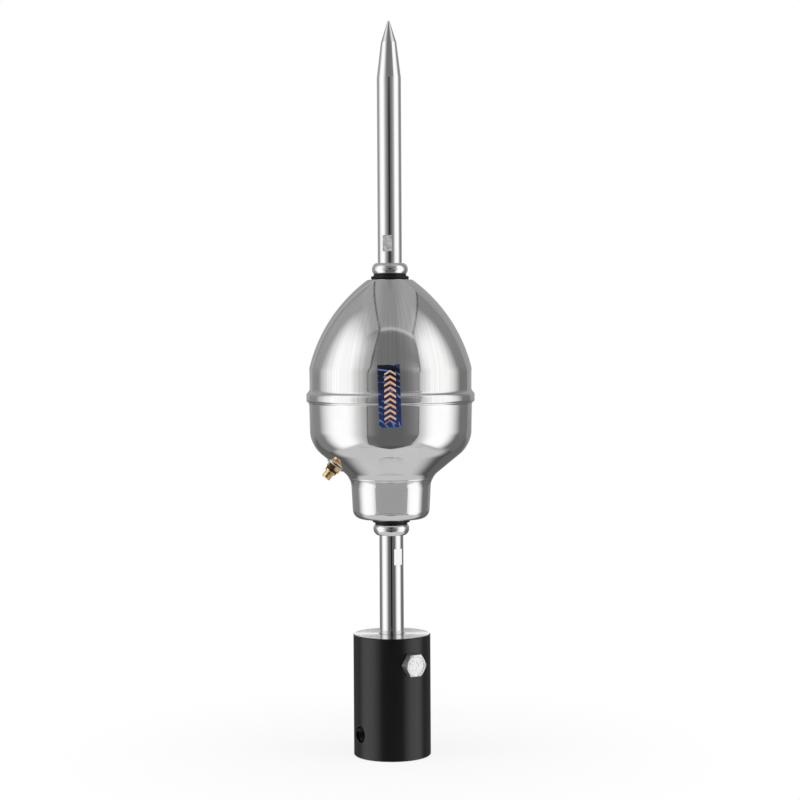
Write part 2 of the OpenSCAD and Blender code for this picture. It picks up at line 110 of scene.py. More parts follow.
def place(tree, kind, inputs=None, **options):
    node = tree.nodes.new(kind)
    for name, value in options.items():
        setattr(node, name, value)
    for key, value in (inputs or {}).items():
        if isinstance(value, bpy.types.NodeSocket):
            tree.links.new(value, node.inputs[key])
        else:
            node.inputs[key].default_value = value
    return node


def fresh_tree(owner):
    owner.use_nodes = True
    owner.node_tree.nodes.clear()
    return owner.node_tree


def object_place(tree):
    """The place on the object, whole and split into its three parts."""
    coords = place(tree, "ShaderNodeTexCoord").outputs["Object"]
    split = place(tree, "ShaderNodeSeparateXYZ", {0: coords})
    return coords, split.outputs["X"], split.outputs["Y"], split.outputs["Z"]


# %% Sums


def calc(tree, operation, a, b=0.0):
    return place(tree, "ShaderNodeMath", {0: a, 1: b}, operation=operation).outputs[0]


def times(tree, first, *others):
    for other in others:
        first = calc(tree, "MULTIPLY", first, other)
    return first


def size_of(tree, value):
    return calc(tree, "ABSOLUTE", value)


def line_at(tree, base, slope, value):
    return calc(tree, "ADD", calc(tree, "MULTIPLY", value, slope), base)


def ranged(tree, value, low, high):
    """A straight change from low to high, for a value between nought and one."""
    inputs = {"Value": value, "To Min": low, "To Max": high}
    return place(tree, "ShaderNodeMapRange", inputs).outputs["Result"]


def fade(tree, value, start, end, low=0.0, high=1.0):
    """A smooth change from low, where the value is at start, to high, where it is at end."""
    inputs = {"Value": value, "From Min": start, "From Max": end, "To Min": low, "To Max": high}
    step = place(tree, "ShaderNodeMapRange", inputs, interpolation_type="SMOOTHSTEP")
    return step.outputs["Result"]


def vector_calc(tree, operation, a, b=(0, 0, 0)):
    return place(tree, "ShaderNodeVectorMath", {0: a, 1: b}, operation=operation).outputs


def level_part(tree, coords):
    return vector_calc(tree, "MULTIPLY", coords, (1, 1, 0))["Vector"]


def length(tree, vector):
    return vector_calc(tree, "LENGTH", vector)["Value"]


# %% Mixes and light


def mix_values(tree, factor, first, second):
    return place(tree, "ShaderNodeMix", {"Factor": factor, "A": first, "B": second}).outputs[0]


def mix_colours(tree, factor, first, second):
    inputs = {"Factor": factor, "A": first, "B": second}
    return place(tree, "ShaderNodeMix", inputs, data_type="RGBA").outputs[2]


def mix_shaders(tree, factor, first, second):
    return place(tree, "ShaderNodeMixShader", {0: factor, 1: first, 2: second}).outputs[0]


def glow(tree, strength):
    return place(tree, "ShaderNodeEmission", {"Strength": strength}).outputs[0]


def veil(tree, shown, level):
    """A glow where the mask is one, clear where it is nought."""
    clear = place(tree, "ShaderNodeBsdfTransparent").outputs[0]
    return mix_shaders(tree, shown, clear, glow(tree, level))


def slant(tree):
    """How slanting a ray meets the surface: nought straight on, one along it."""
    return place(tree, "ShaderNodeLayerWeight", {"Blend": 0.5}).outputs["Facing"]


# %% [markdown]
# ## The studio
# Polished metal shows the room and little else, so the room is part of the likeness. It is a
# light tent: two glowing side walls, a dim front with two dark seams, a grey ceiling and a
# grey back. Only reflections see it. Cards and lamps could do the same, but the soft fall of
# light on a fabric wall is easier to write as fades across that wall. Places are in metres, and
# a level of 1 is white.

# %% Tent sizes
TENT_SIDE = 0.87
TENT_FRONT = -0.8
TENT_BACK = 0.9
TENT_FLOOR = -0.6
TENT_TOP = 1.62
MIDDLE = 0.1


def sided(tree, x, on_left, on_right):
    """One value on the left of the rod, another on its right."""
    return fade(tree, x, -MIDDLE, MIDDLE, on_left, on_right)


def only_in_mirrors(thing):
    for rays in ("camera", "diffuse", "transmission", "volume_scatter", "shadow"):
        setattr(thing, "visible_" + rays, False)


# %% Side walls
GLOW = 1.24


def room_level(tree, x, z):
    """The unlit room: paler upwards, darker on the right."""
    return times(tree, fade(tree, z, -0.2, 0.9, 0.24, 0.41), sided(tree, x, 1.0, 0.72))


def wall_glow(tree, x, y, z):
    """Light on the fabric: brightest beside the rod, less towards the front, back and top."""
    back_end = times(tree, sided(tree, x, 0.74, 0.54), fade(tree, z, 0.03, 0.2, 0.69, 1.0))
    front = fade(tree, y, -1.42, -0.42)
    back = fade(tree, y, back_end, -0.15)
    leaning = calc(tree, "ADD", z, line_at(tree, 0.15, 0.3, y))
    top = fade(tree, leaning, 1.75, 0.95, 0.45, 1.0)
    lit = times(tree, front, back, top, GLOW)
    return calc(tree, "MAXIMUM", room_level(tree, x, z), lit)


# %% [markdown]
# ## Front wall of the tent
# The front is what the middle of the head shows: a dim panel between two leaning seams, paler
# to its sides, with a softly dark spot where the lens looks in. Outside the seams the fabric
# glows as the side walls do. A dark card could be the panel, but its fall of light is not even.

# %% Front wall
SEAM_DARK, SEAM_CLEAR = 0.009, 0.024
LEFT_SEAM, RIGHT_SEAM = (-0.504, 0.10), (0.617, 0.185)


def seams(tree, x, places, faintest=0.0):
    """Dark lines at the given places, one times the other."""
    masks = []
    for seam in places:
        away = size_of(tree, calc(tree, "SUBTRACT", x, seam))
        masks.append(fade(tree, away, SEAM_DARK, SEAM_CLEAR, faintest, 1.0))
    return times(tree, *masks)


def front_panel(tree, x, z):
    away = size_of(tree, x)
    centre = fade(tree, z, 0.3, 0.8, 0.136, 0.20)
    bulge = times(tree, fade(tree, z, -0.1, 0.45), fade(tree, z, 0.95, 0.58))
    rise = calc(tree, "ADD", ranged(tree, bulge, 0.10, 0.80), fade(tree, z, 0.8, 1.1, 0.0, 0.14))
    sides = times(tree, rise, sided(tree, x, 1.0, 0.5), fade(tree, away, 0.15, 0.85))
    top_strip = fade(tree, z, 1.47, 1.53, 0.0, 0.45)
    dim = calc(tree, "ADD", calc(tree, "ADD", centre, sides), top_strip)
    spot = times(tree, fade(tree, z, 0.30, 0.42), fade(tree, z, 0.68, 0.56), fade(tree, away, 0.17, 0.05))
    return times(tree, dim, ranged(tree, spot, 1.0, 0.15))


def front_wall(tree, x, y, z):
    left = line_at(tree, *LEFT_SEAM, z)
    right = line_at(tree, *RIGHT_SEAM, z)
    outside = calc(tree, "MAXIMUM", calc(tree, "LESS_THAN", x, left), calc(tree, "GREATER_THAN", x, right))
    flank = times(tree, wall_glow(tree, x, y, z), fade(tree, size_of(tree, x), 0.5, 0.9, 0.58, 1.0))
    cloth = mix_values(tree, outside, front_panel(tree, x, z), flank)
    return times(tree, cloth, seams(tree, x, (left, right), fade(tree, z, 0.2, 0.5, 0.35, 0.0)))


# %% [markdown]
# ## Ceiling, back and ground of the tent
# The ceiling has two seams too. The back is what the edges of the head show: a dim cloth, paler
# between its two hems, with a bright line at the left hem and a bright band low behind the rod,
# which the top of the sleeve mirrors. The ground glows a little at its sides.

# %% Ceiling, back and ground
CEILING_SEAM, CEILING_END = (-0.474, -0.13), 0.852
HEM = 0.58


def ceiling(tree, x, y, z):
    away = size_of(tree, x)
    corners = times(tree, fade(tree, away, 0.6, 0.86), fade(tree, y, 0.1, -0.3), 0.17)
    level = calc(tree, "ADD", fade(tree, away, 0.1, 0.5, 0.34, 0.44), corners)
    return times(tree, seams(tree, x, (line_at(tree, *CEILING_SEAM, y), CEILING_END)), level)


def back_wall(tree, x, y, z):
    away = size_of(tree, x)
    between = fade(tree, away, HEM + 0.04, HEM - 0.03)
    share = mix_values(tree, between, sided(tree, x, 1.15, 1.28), 1.32)
    from_hem = size_of(tree, calc(tree, "ADD", x, HEM))
    share = calc(tree, "ADD", share, fade(tree, from_hem, 0.06, 0.03, 0.0, 0.45))
    paler = mix_values(tree, fade(tree, z, 0.16, 0.25), 1.0, share)
    cloth = times(tree, fade(tree, z, -0.1, 0.1, 0.14, 0.30), paler)
    band = times(tree, fade(tree, z, 0.17, 0.22), fade(tree, z, 0.31, 0.25))
    return calc(tree, "ADD", cloth, times(tree, fade(tree, away, 0.45, 0.12), band, 0.78))


def tent_ground(tree, x, y, z):
    sides = times(tree, fade(tree, size_of(tree, x), 0.2, 0.7), fade(tree, y, 0.9, 0.2))
    return ranged(tree, times(tree, sides, sided(tree, x, 1.0, 0.25)), 0.095, 0.62)


# %% [markdown]
# ## Putting up the tent
# One cube is scaled to the room, and each of its faces takes the material of its wall. Six
# planes would do too, but then their edges would have to be kept together.

# %% Light tent


def emitter(name, level_of):
    material = bpy.data.materials.new(name)
    tree = fresh_tree(material)
    _, x, y, z = object_place(tree)
    place(tree, "ShaderNodeOutputMaterial", {"Surface": glow(tree, level_of(tree, x, y, z))})
    return material


walls = [((1, 0, 0), wall_glow), ((-1, 0, 0), wall_glow), ((0, -1, 0), front_wall),
         ((0, 1, 0), back_wall), ((0, 0, 1), ceiling), ((0, 0, -1), tent_ground)]
room = Vector((2 * TENT_SIDE, TENT_BACK - TENT_FRONT, TENT_TOP - TENT_FLOOR))
centre = Vector((0, (TENT_BACK + TENT_FRONT) / 2, (TENT_TOP + TENT_FLOOR) / 2))
bm = bmesh.new()
bmesh.ops.create_cube(bm, size=1.0)
bmesh.ops.scale(bm, vec=room, verts=bm.verts)
bmesh.ops.translate(bm, vec=centre, verts=bm.verts)
for index, (outward, _) in enumerate(walls):
    for face in bm.faces:
        if face.normal.dot(Vector(outward)) > 0.9:
            face.material_index = index
fabrics = [emitter("tent_wall_%d" % index, level_of) for index, (_, level_of) in enumerate(walls)]
tent = link("light_tent", mesh_of(bm, "light_tent", fabrics))
only_in_mirrors(tent)
print("light tent", tuple(round(v, 2) for v in room))

# %% [markdown]
# ## Cards round the rod
# The neck mirrors one even grey panel, and the rod below it a black line, but the bowl shows
# neither. A grey and a black card do that. They could stand upright, but then the bowl would
# show them as bars. They lean along the bowl's own line of sight instead, so it sees only their
# edge. A level grey shelf fills the panel nearer to the neck, and a pale ring under the head
# hides the top of the sleeve from the cone. All but the black one are clear at other slants.

# %% Ring-shaped card helper
CARD_STEPS = 48


def ring_card(name, near, far, first, last, shader_of):
    """A strip of a cone about the rod, between two (radius, height) ends, seen only in mirrors."""
    material = bpy.data.materials.new(name)
    tree = fresh_tree(material)
    place(tree, "ShaderNodeOutputMaterial", {"Surface": shader_of(tree)})
    bm = bmesh.new()
    ends = [bm.verts.new((0, -away, height)) for away, height in (near, far)]
    edge = bmesh.ops.contextual_create(bm, geom=ends)["edges"]
    bmesh.ops.transform(bm, matrix=turn(first), verts=bm.verts)
    bmesh.ops.spin(bm, geom=ends + edge, cent=(0, 0, 0), axis=(0, 0, 1), steps=CARD_STEPS,
                   angle=math.radians(last - first), use_merge=last - first == 360)
    bm.normal_update()
    bmesh.ops.reverse_faces(bm, faces=[f for f in bm.faces if f.normal.z < 0])
    card = link(name, mesh_of(bm, name, [material]))
    only_in_mirrors(card)
    print(name, len(card.data.polygons), "faces")


# %% Card finishes
CARD_GREY, CARD_BLACK, PALE_LEVEL = 0.41, 0.016, 0.66
NECK_SLANT = (0.345, 0.375)
SHELF_SLANT_FROM, SHELF_SLANT_TO = (0.20, 0.28), (0.72, 0.62)
RING_SLANT = (0.16, 0.08)
RING_IN, RING_FULL, RING_OUT, RING_Z = 0.0096, 0.03, 0.05, 0.1635


def from_above(tree, shown):
    below = place(tree, "ShaderNodeNewGeometry").outputs["Backfacing"]
    return times(tree, shown, calc(tree, "SUBTRACT", 1.0, below))


def grey_for_neck(tree):
    return veil(tree, fade(tree, slant(tree), *NECK_SLANT), CARD_GREY)


def grey_when_slanting(tree):
    lean = slant(tree)
    shown = times(tree, fade(tree, lean, *SHELF_SLANT_FROM), fade(tree, lean, *SHELF_SLANT_TO))
    return veil(tree, from_above(tree, shown), CARD_GREY)


def black_line(tree):
    return glow(tree, CARD_BLACK)


def pale_when_steep(tree):
    reach = length(tree, level_part(tree, object_place(tree)[0]))
    shown = times(tree, fade(tree, slant(tree), *RING_SLANT), fade(tree, reach, RING_OUT, RING_FULL))
    return veil(tree, from_above(tree, shown), PALE_LEVEL)


# %% Cards
CARD_NEAR, CARD_MIDDLE, CARD_FAR = (0.095, 0.1953), (0.131, 0.1543), (0.211, 0.0638)
CARD_LEFT, CARD_RIGHT, BLACK_HALF = -40.0, 43.0, 6.9
SHELF_IN, SHELF_OUT, SHELF_Z = 0.05, 0.115, 0.165

ring_card("grey_card", CARD_NEAR, CARD_MIDDLE, CARD_LEFT, CARD_RIGHT, grey_for_neck)
ring_card("grey_shelf", (SHELF_IN, SHELF_Z), (SHELF_OUT, SHELF_Z), CARD_LEFT, CARD_RIGHT,
          grey_when_slanting)
ring_card("black_card", CARD_MIDDLE, CARD_FAR, -BLACK_HALF, BLACK_HALF, black_line)
ring_card("pale_ring", (RING_IN, RING_Z), (RING_OUT, RING_Z), 0, 360, pale_when_steep)

# %% [markdown]
# ## Floor, background and lamps
# The catalogue background is white. The floor is white to the camera, with a share of plain
# diffuse near the rod so that the contact shadow stays. In reflections it is a pale sheet in
# front of and under the rod: its front edge draws the curved line across the bowl. A second
# sheet could do that too, but one floor with two looks needs no other object.

# %% Floor
SHEET_FRONT, SHEET_SPREAD, SHEET_LEVEL = 0.188, 0.4, 0.66
SHADOW_SHARE, SHADOW_OUT, SHADOW_IN = 0.16, 0.30, 0.04
FLOOR_HALF, FLOOR_CELLS = 6.0, 8

floor_white = bpy.data.materials.new("floor_white")
tree = fresh_tree(floor_white)
coords, x, y, _ = object_place(tree)
matt = place(tree, "ShaderNodeBsdfDiffuse", {"Color": (0.9, 0.9, 0.9, 1)}).outputs[0]
near = fade(tree, length(tree, coords), SHADOW_OUT, SHADOW_IN, 0.0, SHADOW_SHARE)
seen = mix_shaders(tree, near, glow(tree, 1.0), matt)
away = size_of(tree, x)
front = calc(tree, "ADD", y, line_at(tree, SHEET_FRONT, SHEET_SPREAD, away))
sheet = times(tree, fade(tree, front, -0.002, 0.003), fade(tree, y, 0.17, 0.05))
sheet = times(tree, sheet, fade(tree, away, 0.34, 0.20), fade(tree, slant(tree), 0.70, 0.45))
rays = place(tree, "ShaderNodeLightPath").outputs
unseen = mix_shaders(tree, rays["Is Glossy Ray"], matt, veil(tree, sheet, SHEET_LEVEL))
both = mix_shaders(tree, rays["Is Camera Ray"], unseen, seen)
place(tree, "ShaderNodeOutputMaterial", {"Surface": both})

bm = bmesh.new()
bmesh.ops.create_grid(bm, x_segments=FLOOR_CELLS, y_segments=FLOOR_CELLS, size=FLOOR_HALF)
floor = link("floor", mesh_of(bm, "floor", [floor_white]))
print("floor", len(floor.data.polygons), "faces")

# %% World
ROOM_LIGHT = 0.45

scene.world = bpy.data.worlds.new("studio_world")
tree = fresh_tree(scene.world)
rays = place(tree, "ShaderNodeLightPath").outputs
mirrored = calc(tree, "MAXIMUM", rays["Is Glossy Ray"], rays["Is Transmission Ray"])
shown = calc(tree, "MAXIMUM", rays["Is Camera Ray"], mirrored)
dim = place(tree, "ShaderNodeBackground", {"Strength": ROOM_LIGHT}).outputs[0]
white = place(tree, "ShaderNodeBackground", {"Color": (1, 1, 1, 1), "Strength": 1.0}).outputs[0]
place(tree, "ShaderNodeOutputWorld", {"Surface": mix_shaders(tree, shown, dim, white)})
print("world", scene.world.name)

# %% Lamps
AIM_POINT = Vector((0, 0, 0.24))
LAMP_WIDE, LAMP_TALL = 0.8, 1.1

for name, spot, power in (("left_lamp", (-0.9, -0.35, 0.55), 5.0),
                          ("right_lamp", (0.9, -0.35, 0.55), 5.0),
                          ("top_lamp", (0.0, -0.3, 1.3), 4.0)):
    lamp = link(name, bpy.data.lights.new(name, "AREA"))
    lamp.data.shape = "RECTANGLE"
    lamp.data.size = LAMP_WIDE
    lamp.data.size_y = LAMP_TALL
    lamp.data.energy = power
    aim = (AIM_POINT - Vector(spot)).to_track_quat("-Z", "Y").to_matrix().to_4x4()
    lamp.matrix_world = Matrix.Translation(spot) @ aim
    lamp.visible_glossy = False
    print(name, power, "W")

# %% [markdown]
# ## Shared surface effects
# Spun and turned metal carries the marks of its making: streaks that run up the dome from the
# polishing belt, fine rings along a turned rod or across a faced end, and a cloudy film where it
# was handled. Each is a node group that puts out one value, so several finishes can use it in
# their own strength.

# %% Effect group helper


def effect_group(name, inputs, output):
    group = bpy.data.node_groups.new(name, "ShaderNodeTree")
    group.interface.new_socket("Place", in_out="INPUT", socket_type="NodeSocketVector")
    for label, value in inputs.items():
        socket = group.interface.new_socket(label, in_out="INPUT", socket_type="NodeSocketFloat")
        socket.default_value = value
    group.interface.new_socket(output, in_out="OUTPUT", socket_type="NodeSocketFloat")
    start = group.nodes.new("NodeGroupInput")
    end = group.nodes.new("NodeGroupOutput")
    return group, start.outputs, end.inputs[0]


def fine_rings(group, along, count):
    inputs = {"W": times(group, along, count), "Scale": 1.0, "Detail": 2.0}
    return place(group, "ShaderNodeTexNoise", inputs, noise_dimensions="1D").outputs["Fac"]


# %% Belt streaks
belt_streaks, given, result = effect_group("belt_streaks", {"Around": 60.0, "Along": 6.0}, "Streak")
outward = vector_calc(belt_streaks, "NORMALIZE", level_part(belt_streaks, given["Place"]))["Vector"]
around = place(belt_streaks, "ShaderNodeVectorMath", {0: outward, "Scale": given["Around"]},
               operation="SCALE").outputs["Vector"]
height = place(belt_streaks, "ShaderNodeSeparateXYZ", {0: given["Place"]}).outputs["Z"]
along = place(belt_streaks, "ShaderNodeCombineXYZ", {2: times(belt_streaks, height, given["Along"])})
spread = vector_calc(belt_streaks, "ADD", around, along.outputs[0])["Vector"]
streak = place(belt_streaks, "ShaderNodeTexNoise",
               {"Vector": spread, "Scale": 1.0, "Detail": 4.0, "Roughness": 0.6})
belt_streaks.links.new(streak.outputs["Fac"], result)
print(belt_streaks.name, len(belt_streaks.nodes), "nodes")

# %% Rings and film
turning_rings, given, result = effect_group("turning_rings", {"Rings": 2500.0}, "Ring")
height = place(turning_rings, "ShaderNodeSeparateXYZ", {0: given["Place"]}).outputs["Z"]
turning_rings.links.new(fine_rings(turning_rings, height, given["Rings"]), result)

face_rings, given, result = effect_group("face_rings", {"Rings": 2500.0}, "Ring")
radius = length(face_rings, level_part(face_rings, given["Place"]))
face_rings.links.new(fine_rings(face_rings, radius, given["Rings"]), result)

handling_film, given, result = effect_group("handling_film", {"Size": 40.0}, "Film")
cloud = place(handling_film, "ShaderNodeTexNoise",
              {"Vector": given["Place"], "Scale": given["Size"], "Detail": 5.0, "Roughness": 0.55})
handling_film.links.new(cloud.outputs["Fac"], result)
print("effect groups:", [g.name for g in bpy.data.node_groups])

# %% [markdown]
# ## Finishes
# A finish starts as one Principled shader. Its plain numbers are set on the shader itself, and
# only what changes over the surface comes from nodes: a colour between two near tones, a
# roughness between two limits and a very shallow bump, whose depth is in metres.

# %% Finish helper


def finish(name, **plain):
    material = bpy.data.materials.new(name)
    tree = fresh_tree(material)
    shader = place(tree, "ShaderNodeBsdfPrincipled", {k.replace("_", " "): v for k, v in plain.items()})
    place(tree, "ShaderNodeOutputMaterial", {"Surface": shader.outputs[0]})
    coords = place(tree, "ShaderNodeTexCoord").outputs["Object"]
    return material, tree, shader, coords


def place_group(tree, group, coords, **values):
    node = tree.nodes.new("ShaderNodeGroup")
    node.node_tree = group
    tree.links.new(coords, node.inputs["Place"])
    for key, value in values.items():
        node.inputs[key].default_value = value
    return node.outputs[0]


def tones(tree, shader, value, dark, light, low=0.3, high=0.7):
    ramp = place(tree, "ShaderNodeValToRGB", {0: value})
    for element, position, colour in zip(ramp.color_ramp.elements, (low, high), (dark, light)):
        element.position = position
        element.color = (*colour, 1)
    tree.links.new(ramp.outputs["Color"], shader.inputs["Base Color"])


def rough(tree, shader, value, low, high):
    tree.links.new(ranged(tree, value, low, high), shader.inputs["Roughness"])


def bump(tree, shader, value, depth, strength):
    relief = place(tree, "ShaderNodeBump", {"Height": value, "Distance": depth, "Strength": strength})
    tree.links.new(relief.outputs["Normal"], shader.inputs["Normal"])


def clouded(name, size, tone, dull, span=(0.3, 0.7), rings=None, relief=None, **plain):
    """A finish whose tone and dullness follow the handling film; its relief may be of rings."""
    material, tree, shader, coords = finish(name, **plain)
    film = place_group(tree, handling_film, coords, Size=size)
    tones(tree, shader, film, *tone, *span)
    rough(tree, shader, film, *dull)
    if relief:
        height = place_group(tree, rings[0], coords, Rings=rings[1]) if rings else film
        bump(tree, shader, height, *relief)
    return material


# %% [markdown]
# ## Steel finishes
# The rods are ground and polished, the dome is spun from sheet and belt-polished along its
# height, the bowl keeps the rings of the lathe, and the collars are bright like mirrors. The
# spanner flats are left dull by the mill, and the bolt has a mottled coat of zinc.

# %% Polished steel
rod_polish, tree, shader, coords = finish("rod_polish", Metallic=1.0)
ring = place_group(tree, turning_rings, coords, Rings=2200.0)
film = place_group(tree, handling_film, coords, Size=60.0)
tones(tree, shader, ring, (0.76, 0.76, 0.77), (0.82, 0.82, 0.825))
rough(tree, shader, film, 0.025, 0.07)
bump(tree, shader, ring, 0.00001, 0.15)

collar_polish = clouded("collar_polish", 120.0, ((0.78, 0.78, 0.79), (0.84, 0.84, 0.85)), (0.02, 0.06),
                        Metallic=1.0)
print("polished:", rod_polish.name, collar_polish.name)

# %% Spun steel
spun_shell, tree, shader, coords = finish("spun_shell", Metallic=1.0)
streak = place_group(tree, belt_streaks, coords, Around=60.0, Along=5.0)
film = place_group(tree, handling_film, coords, Size=30.0)
tones(tree, shader, streak, (0.69, 0.685, 0.68), (0.83, 0.83, 0.83))
rough(tree, shader, times(tree, streak, film), 0.06, 0.20)
bump(tree, shader, streak, 0.00005, 0.12)

spun_bowl = clouded("spun_bowl", 30.0, ((0.76, 0.755, 0.75), (0.81, 0.81, 0.81)), (0.05, 0.10),
                    rings=(turning_rings, 2800.0), relief=(0.00001, 0.03), Metallic=1.0)
print("spun:", spun_shell.name, spun_bowl.name)

# %% Milled and plated steel


def milled(name, darkest, relief):
    material, tree, shader, coords = finish(name, Metallic=1.0)
    ring = place_group(tree, turning_rings, coords, Rings=5200.0)
    film = place_group(tree, handling_film, coords, Size=420.0)
    tones(tree, shader, film, (darkest, darkest, darkest), (0.98, 0.98, 0.98), 0.36, 0.60)
    rough(tree, shader, film, 0.34, 0.55)
    bump(tree, shader, calc(tree, "ADD", ring, film), relief, 0.6)
    return material


milled_flat = milled("milled_flat", 0.58, 0.0002)
bright_flat = milled("bright_flat", 0.93, 0.00004)

zinc_plate = clouded("zinc_plate", 900.0, ((0.36, 0.36, 0.36), (0.82, 0.82, 0.81)), (0.24, 0.44),
                     span=(0.33, 0.46), relief=(0.0001, 0.5), Metallic=1.0)
print("milled and plated:", milled_flat.name, bright_flat.name, zinc_plate.name)

# %% [markdown]
# ## Black coat, rubber, brass and plastics
# The sleeve has a satin black coat with a fine grain, and a bare turned top. The seals are
# dull rubber. The test jack is gilded brass. The insulators are cream polyamide, the pulse unit
# is black plastic filled with brown resin, and its two leads have coloured sleeves.

# %% Black coat and turned top
satin_black = clouded("satin_black", 25.0, ((0.002, 0.002, 0.0022), (0.0035, 0.0035, 0.0038)), (0.20, 0.27),
                      rings=(turning_rings, 1800.0), relief=(0.00003, 0.2), Specular_IOR_Level=0.55)
turned_top = clouded("turned_top", 60.0, ((0.66, 0.66, 0.67), (0.74, 0.74, 0.75)), (0.06, 0.14),
                     rings=(face_rings, 2400.0), relief=(0.0002, 0.35), Metallic=1.0)
print("sleeve:", satin_black.name, turned_top.name)

# %% Rubber and brass
seal_rubber = clouded("seal_rubber", 900.0, ((0.004, 0.004, 0.004), (0.008, 0.008, 0.008)), (0.40, 0.55),
                      relief=(0.0001, 0.3), Specular_IOR_Level=0.25)
gilded_brass = clouded("gilded_brass", 300.0, ((0.90, 0.50, 0.17), (1.0, 0.80, 0.47)), (0.03, 0.08),
                       span=(0.36, 0.62), Metallic=1.0)
print("rubber and brass:", seal_rubber.name, gilded_brass.name)

# %% Plastics


def moulded(name, dark, light, grain_size, low, high):
    return clouded(name, grain_size, (dark, light), (low, high), relief=(0.00005, 0.3))


ring_plastic = moulded("ring_plastic", (0.008, 0.008, 0.008), (0.015, 0.015, 0.015), 700.0, 0.25, 0.4)
polyamide = moulded("polyamide", (0.70, 0.66, 0.54), (0.80, 0.77, 0.66), 300.0, 0.35, 0.5)
case_plastic = moulded("case_plastic", (0.018, 0.018, 0.021), (0.03, 0.03, 0.034), 500.0, 0.4, 0.55)
potting_resin = moulded("potting_resin", (0.05, 0.035, 0.025), (0.09, 0.07, 0.05), 90.0, 0.1, 0.25)
red_sleeve = moulded("red_sleeve", (0.40, 0.02, 0.015), (0.52, 0.035, 0.02), 600.0, 0.3, 0.45)
black_sleeve = moulded("black_sleeve", (0.01, 0.01, 0.01), (0.02, 0.02, 0.02), 600.0, 0.3, 0.45)
print("materials so far:", len(bpy.data.materials))

# %% [markdown]
# ## Drawing with a pen and a lathe
# Nearly every piece here is a body of revolution, as it is on the real bench. A pen draws half
# a section in the XZ plane: a line is an extruded vertex, an arc is a vertex spun about the
# centre of the arc. The lathe then spins the whole line about Z. A curve object with a Screw
# modifier could do it too, but the operators keep every edge in hand.

# %% Pen
EASE = 0.25


def on_arc(centre, radius, angle):
    """The point of an arc at one angle."""
    t = math.radians(angle)
    return centre[0] + radius * math.cos(t), centre[1] + radius * math.sin(t)


class Pen:
    """Draws a section line in (radius, height), in millimetres."""

    def __init__(self, r, z):
        self.bm = bmesh.new()
        self.first = self.tip = self.bm.verts.new((r * MM, 0, z * MM))

    def step(self, r, z):
        new = bmesh.ops.extrude_vert_indiv(self.bm, verts=[self.tip])["verts"][0]
        new.co = (r * MM, 0, z * MM)
        self.tip = new

    def line(self, r, z):
        """A straight line with a support point close to each end, so that shading stays flat."""
        start, end = self.tip.co / MM, Vector((r, 0, z))
        run = (end - start).length
        if run > 4 * EASE:
            for part in (EASE / run, 1 - EASE / run):
                spot = start.lerp(end, part)
                self.step(spot.x, spot.z)
        self.step(r, z)
        return self

    def arc(self, cr, cz, start, end, pace=4.0):
        """An arc about (cr, cz) between two angles; the tip is already at the first one."""
        steps = max(3, math.ceil(abs(end - start) / pace))
        out = bmesh.ops.spin(self.bm, geom=[self.tip], cent=(cr * MM, 0, cz * MM), axis=(0, -1, 0),
                             angle=math.radians(end - start), steps=steps)
        self.tip = [v for v in out["geom_last"] if isinstance(v, bmesh.types.BMVert)][0]
        return self

    def close(self):
        bmesh.ops.contextual_create(self.bm, geom=[self.tip, self.first])
        return self


# %% Lathe and pieces
LATHE_STEPS = 160
WELD = 1e-6


def lathe(pen, steps=LATHE_STEPS, angle=360.0):
    bm = pen.bm
    bmesh.ops.spin(bm, geom=bm.verts[:] + bm.edges[:], cent=(0, 0, 0), axis=(0, 0, 1),
                   angle=math.radians(angle), steps=steps, use_merge=angle == 360.0)
    bmesh.ops.remove_doubles(bm, verts=bm.verts, dist=WELD)
    bmesh.ops.recalc_face_normals(bm, faces=bm.faces)
    return bm


def placed(bm, matrix):
    bmesh.ops.transform(bm, matrix=matrix, verts=bm.verts)
    return bm


def shade(mesh, sharp):
    mesh.shade_smooth()
    mesh.set_sharp_from_angle(angle=math.radians(sharp))


def add_piece(bm, name, materials, slot, *replaced, sharp=32.0):
    """Turns a bmesh into a finished piece on the one body of the part."""
    piece = link(name, mesh_of(bm, name, materials))
    shade(piece.data, sharp)
    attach(piece, "root")
    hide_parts(*replaced)
    print(name, len(piece.data.polygons), "faces")
    return piece


# %% [markdown]
# ## Levels
# These heights and radii are the CAD model's own, in millimetres, so that each finer piece lies
# exactly where its plain node lies.

# %% Levels
ROD_R, STUD_R = 9.0, 6.0
SLIP = 0.05
Z_LOW_COLLAR, Z_LOW_SEAL, Z_BODY, Z_SEAM = 166.1, 174.3, 178.4, 266.4
Z_TOP, Z_UP_COLLAR, Z_FINIAL, Z_TIP = 357.5, 361.6, 369.8, 550.0
COLLAR_SINK = 2.0
print("tip at", Z_TIP, "mm")

# %% [markdown]
# ## Rods with spanner flats
# A flat is milled straight across the round bar. On the mesh two level cuts mark its height, a
# cut by the plane of the flat takes the round side away, and three new faces close the notch:
# the flat and a ledge at each end. A boolean with a box would leave long thin triangles.

# %% Flats helper
FLAT_HALF, FLAT_H = 8.25, 12.0
FLAT_MATERIAL = 1
CUT_NEAR = 1e-7
SAME_LEVEL = 1e-3


def whole(bm):
    return bm.verts[:] + bm.edges[:] + bm.faces[:]


def band_faces(bm, low, high):
    return [f for f in bm.faces if low < f.calc_center_median().z / MM < high]


def at_level(vert, level):
    return abs(vert.co.z / MM - level) < SAME_LEVEL


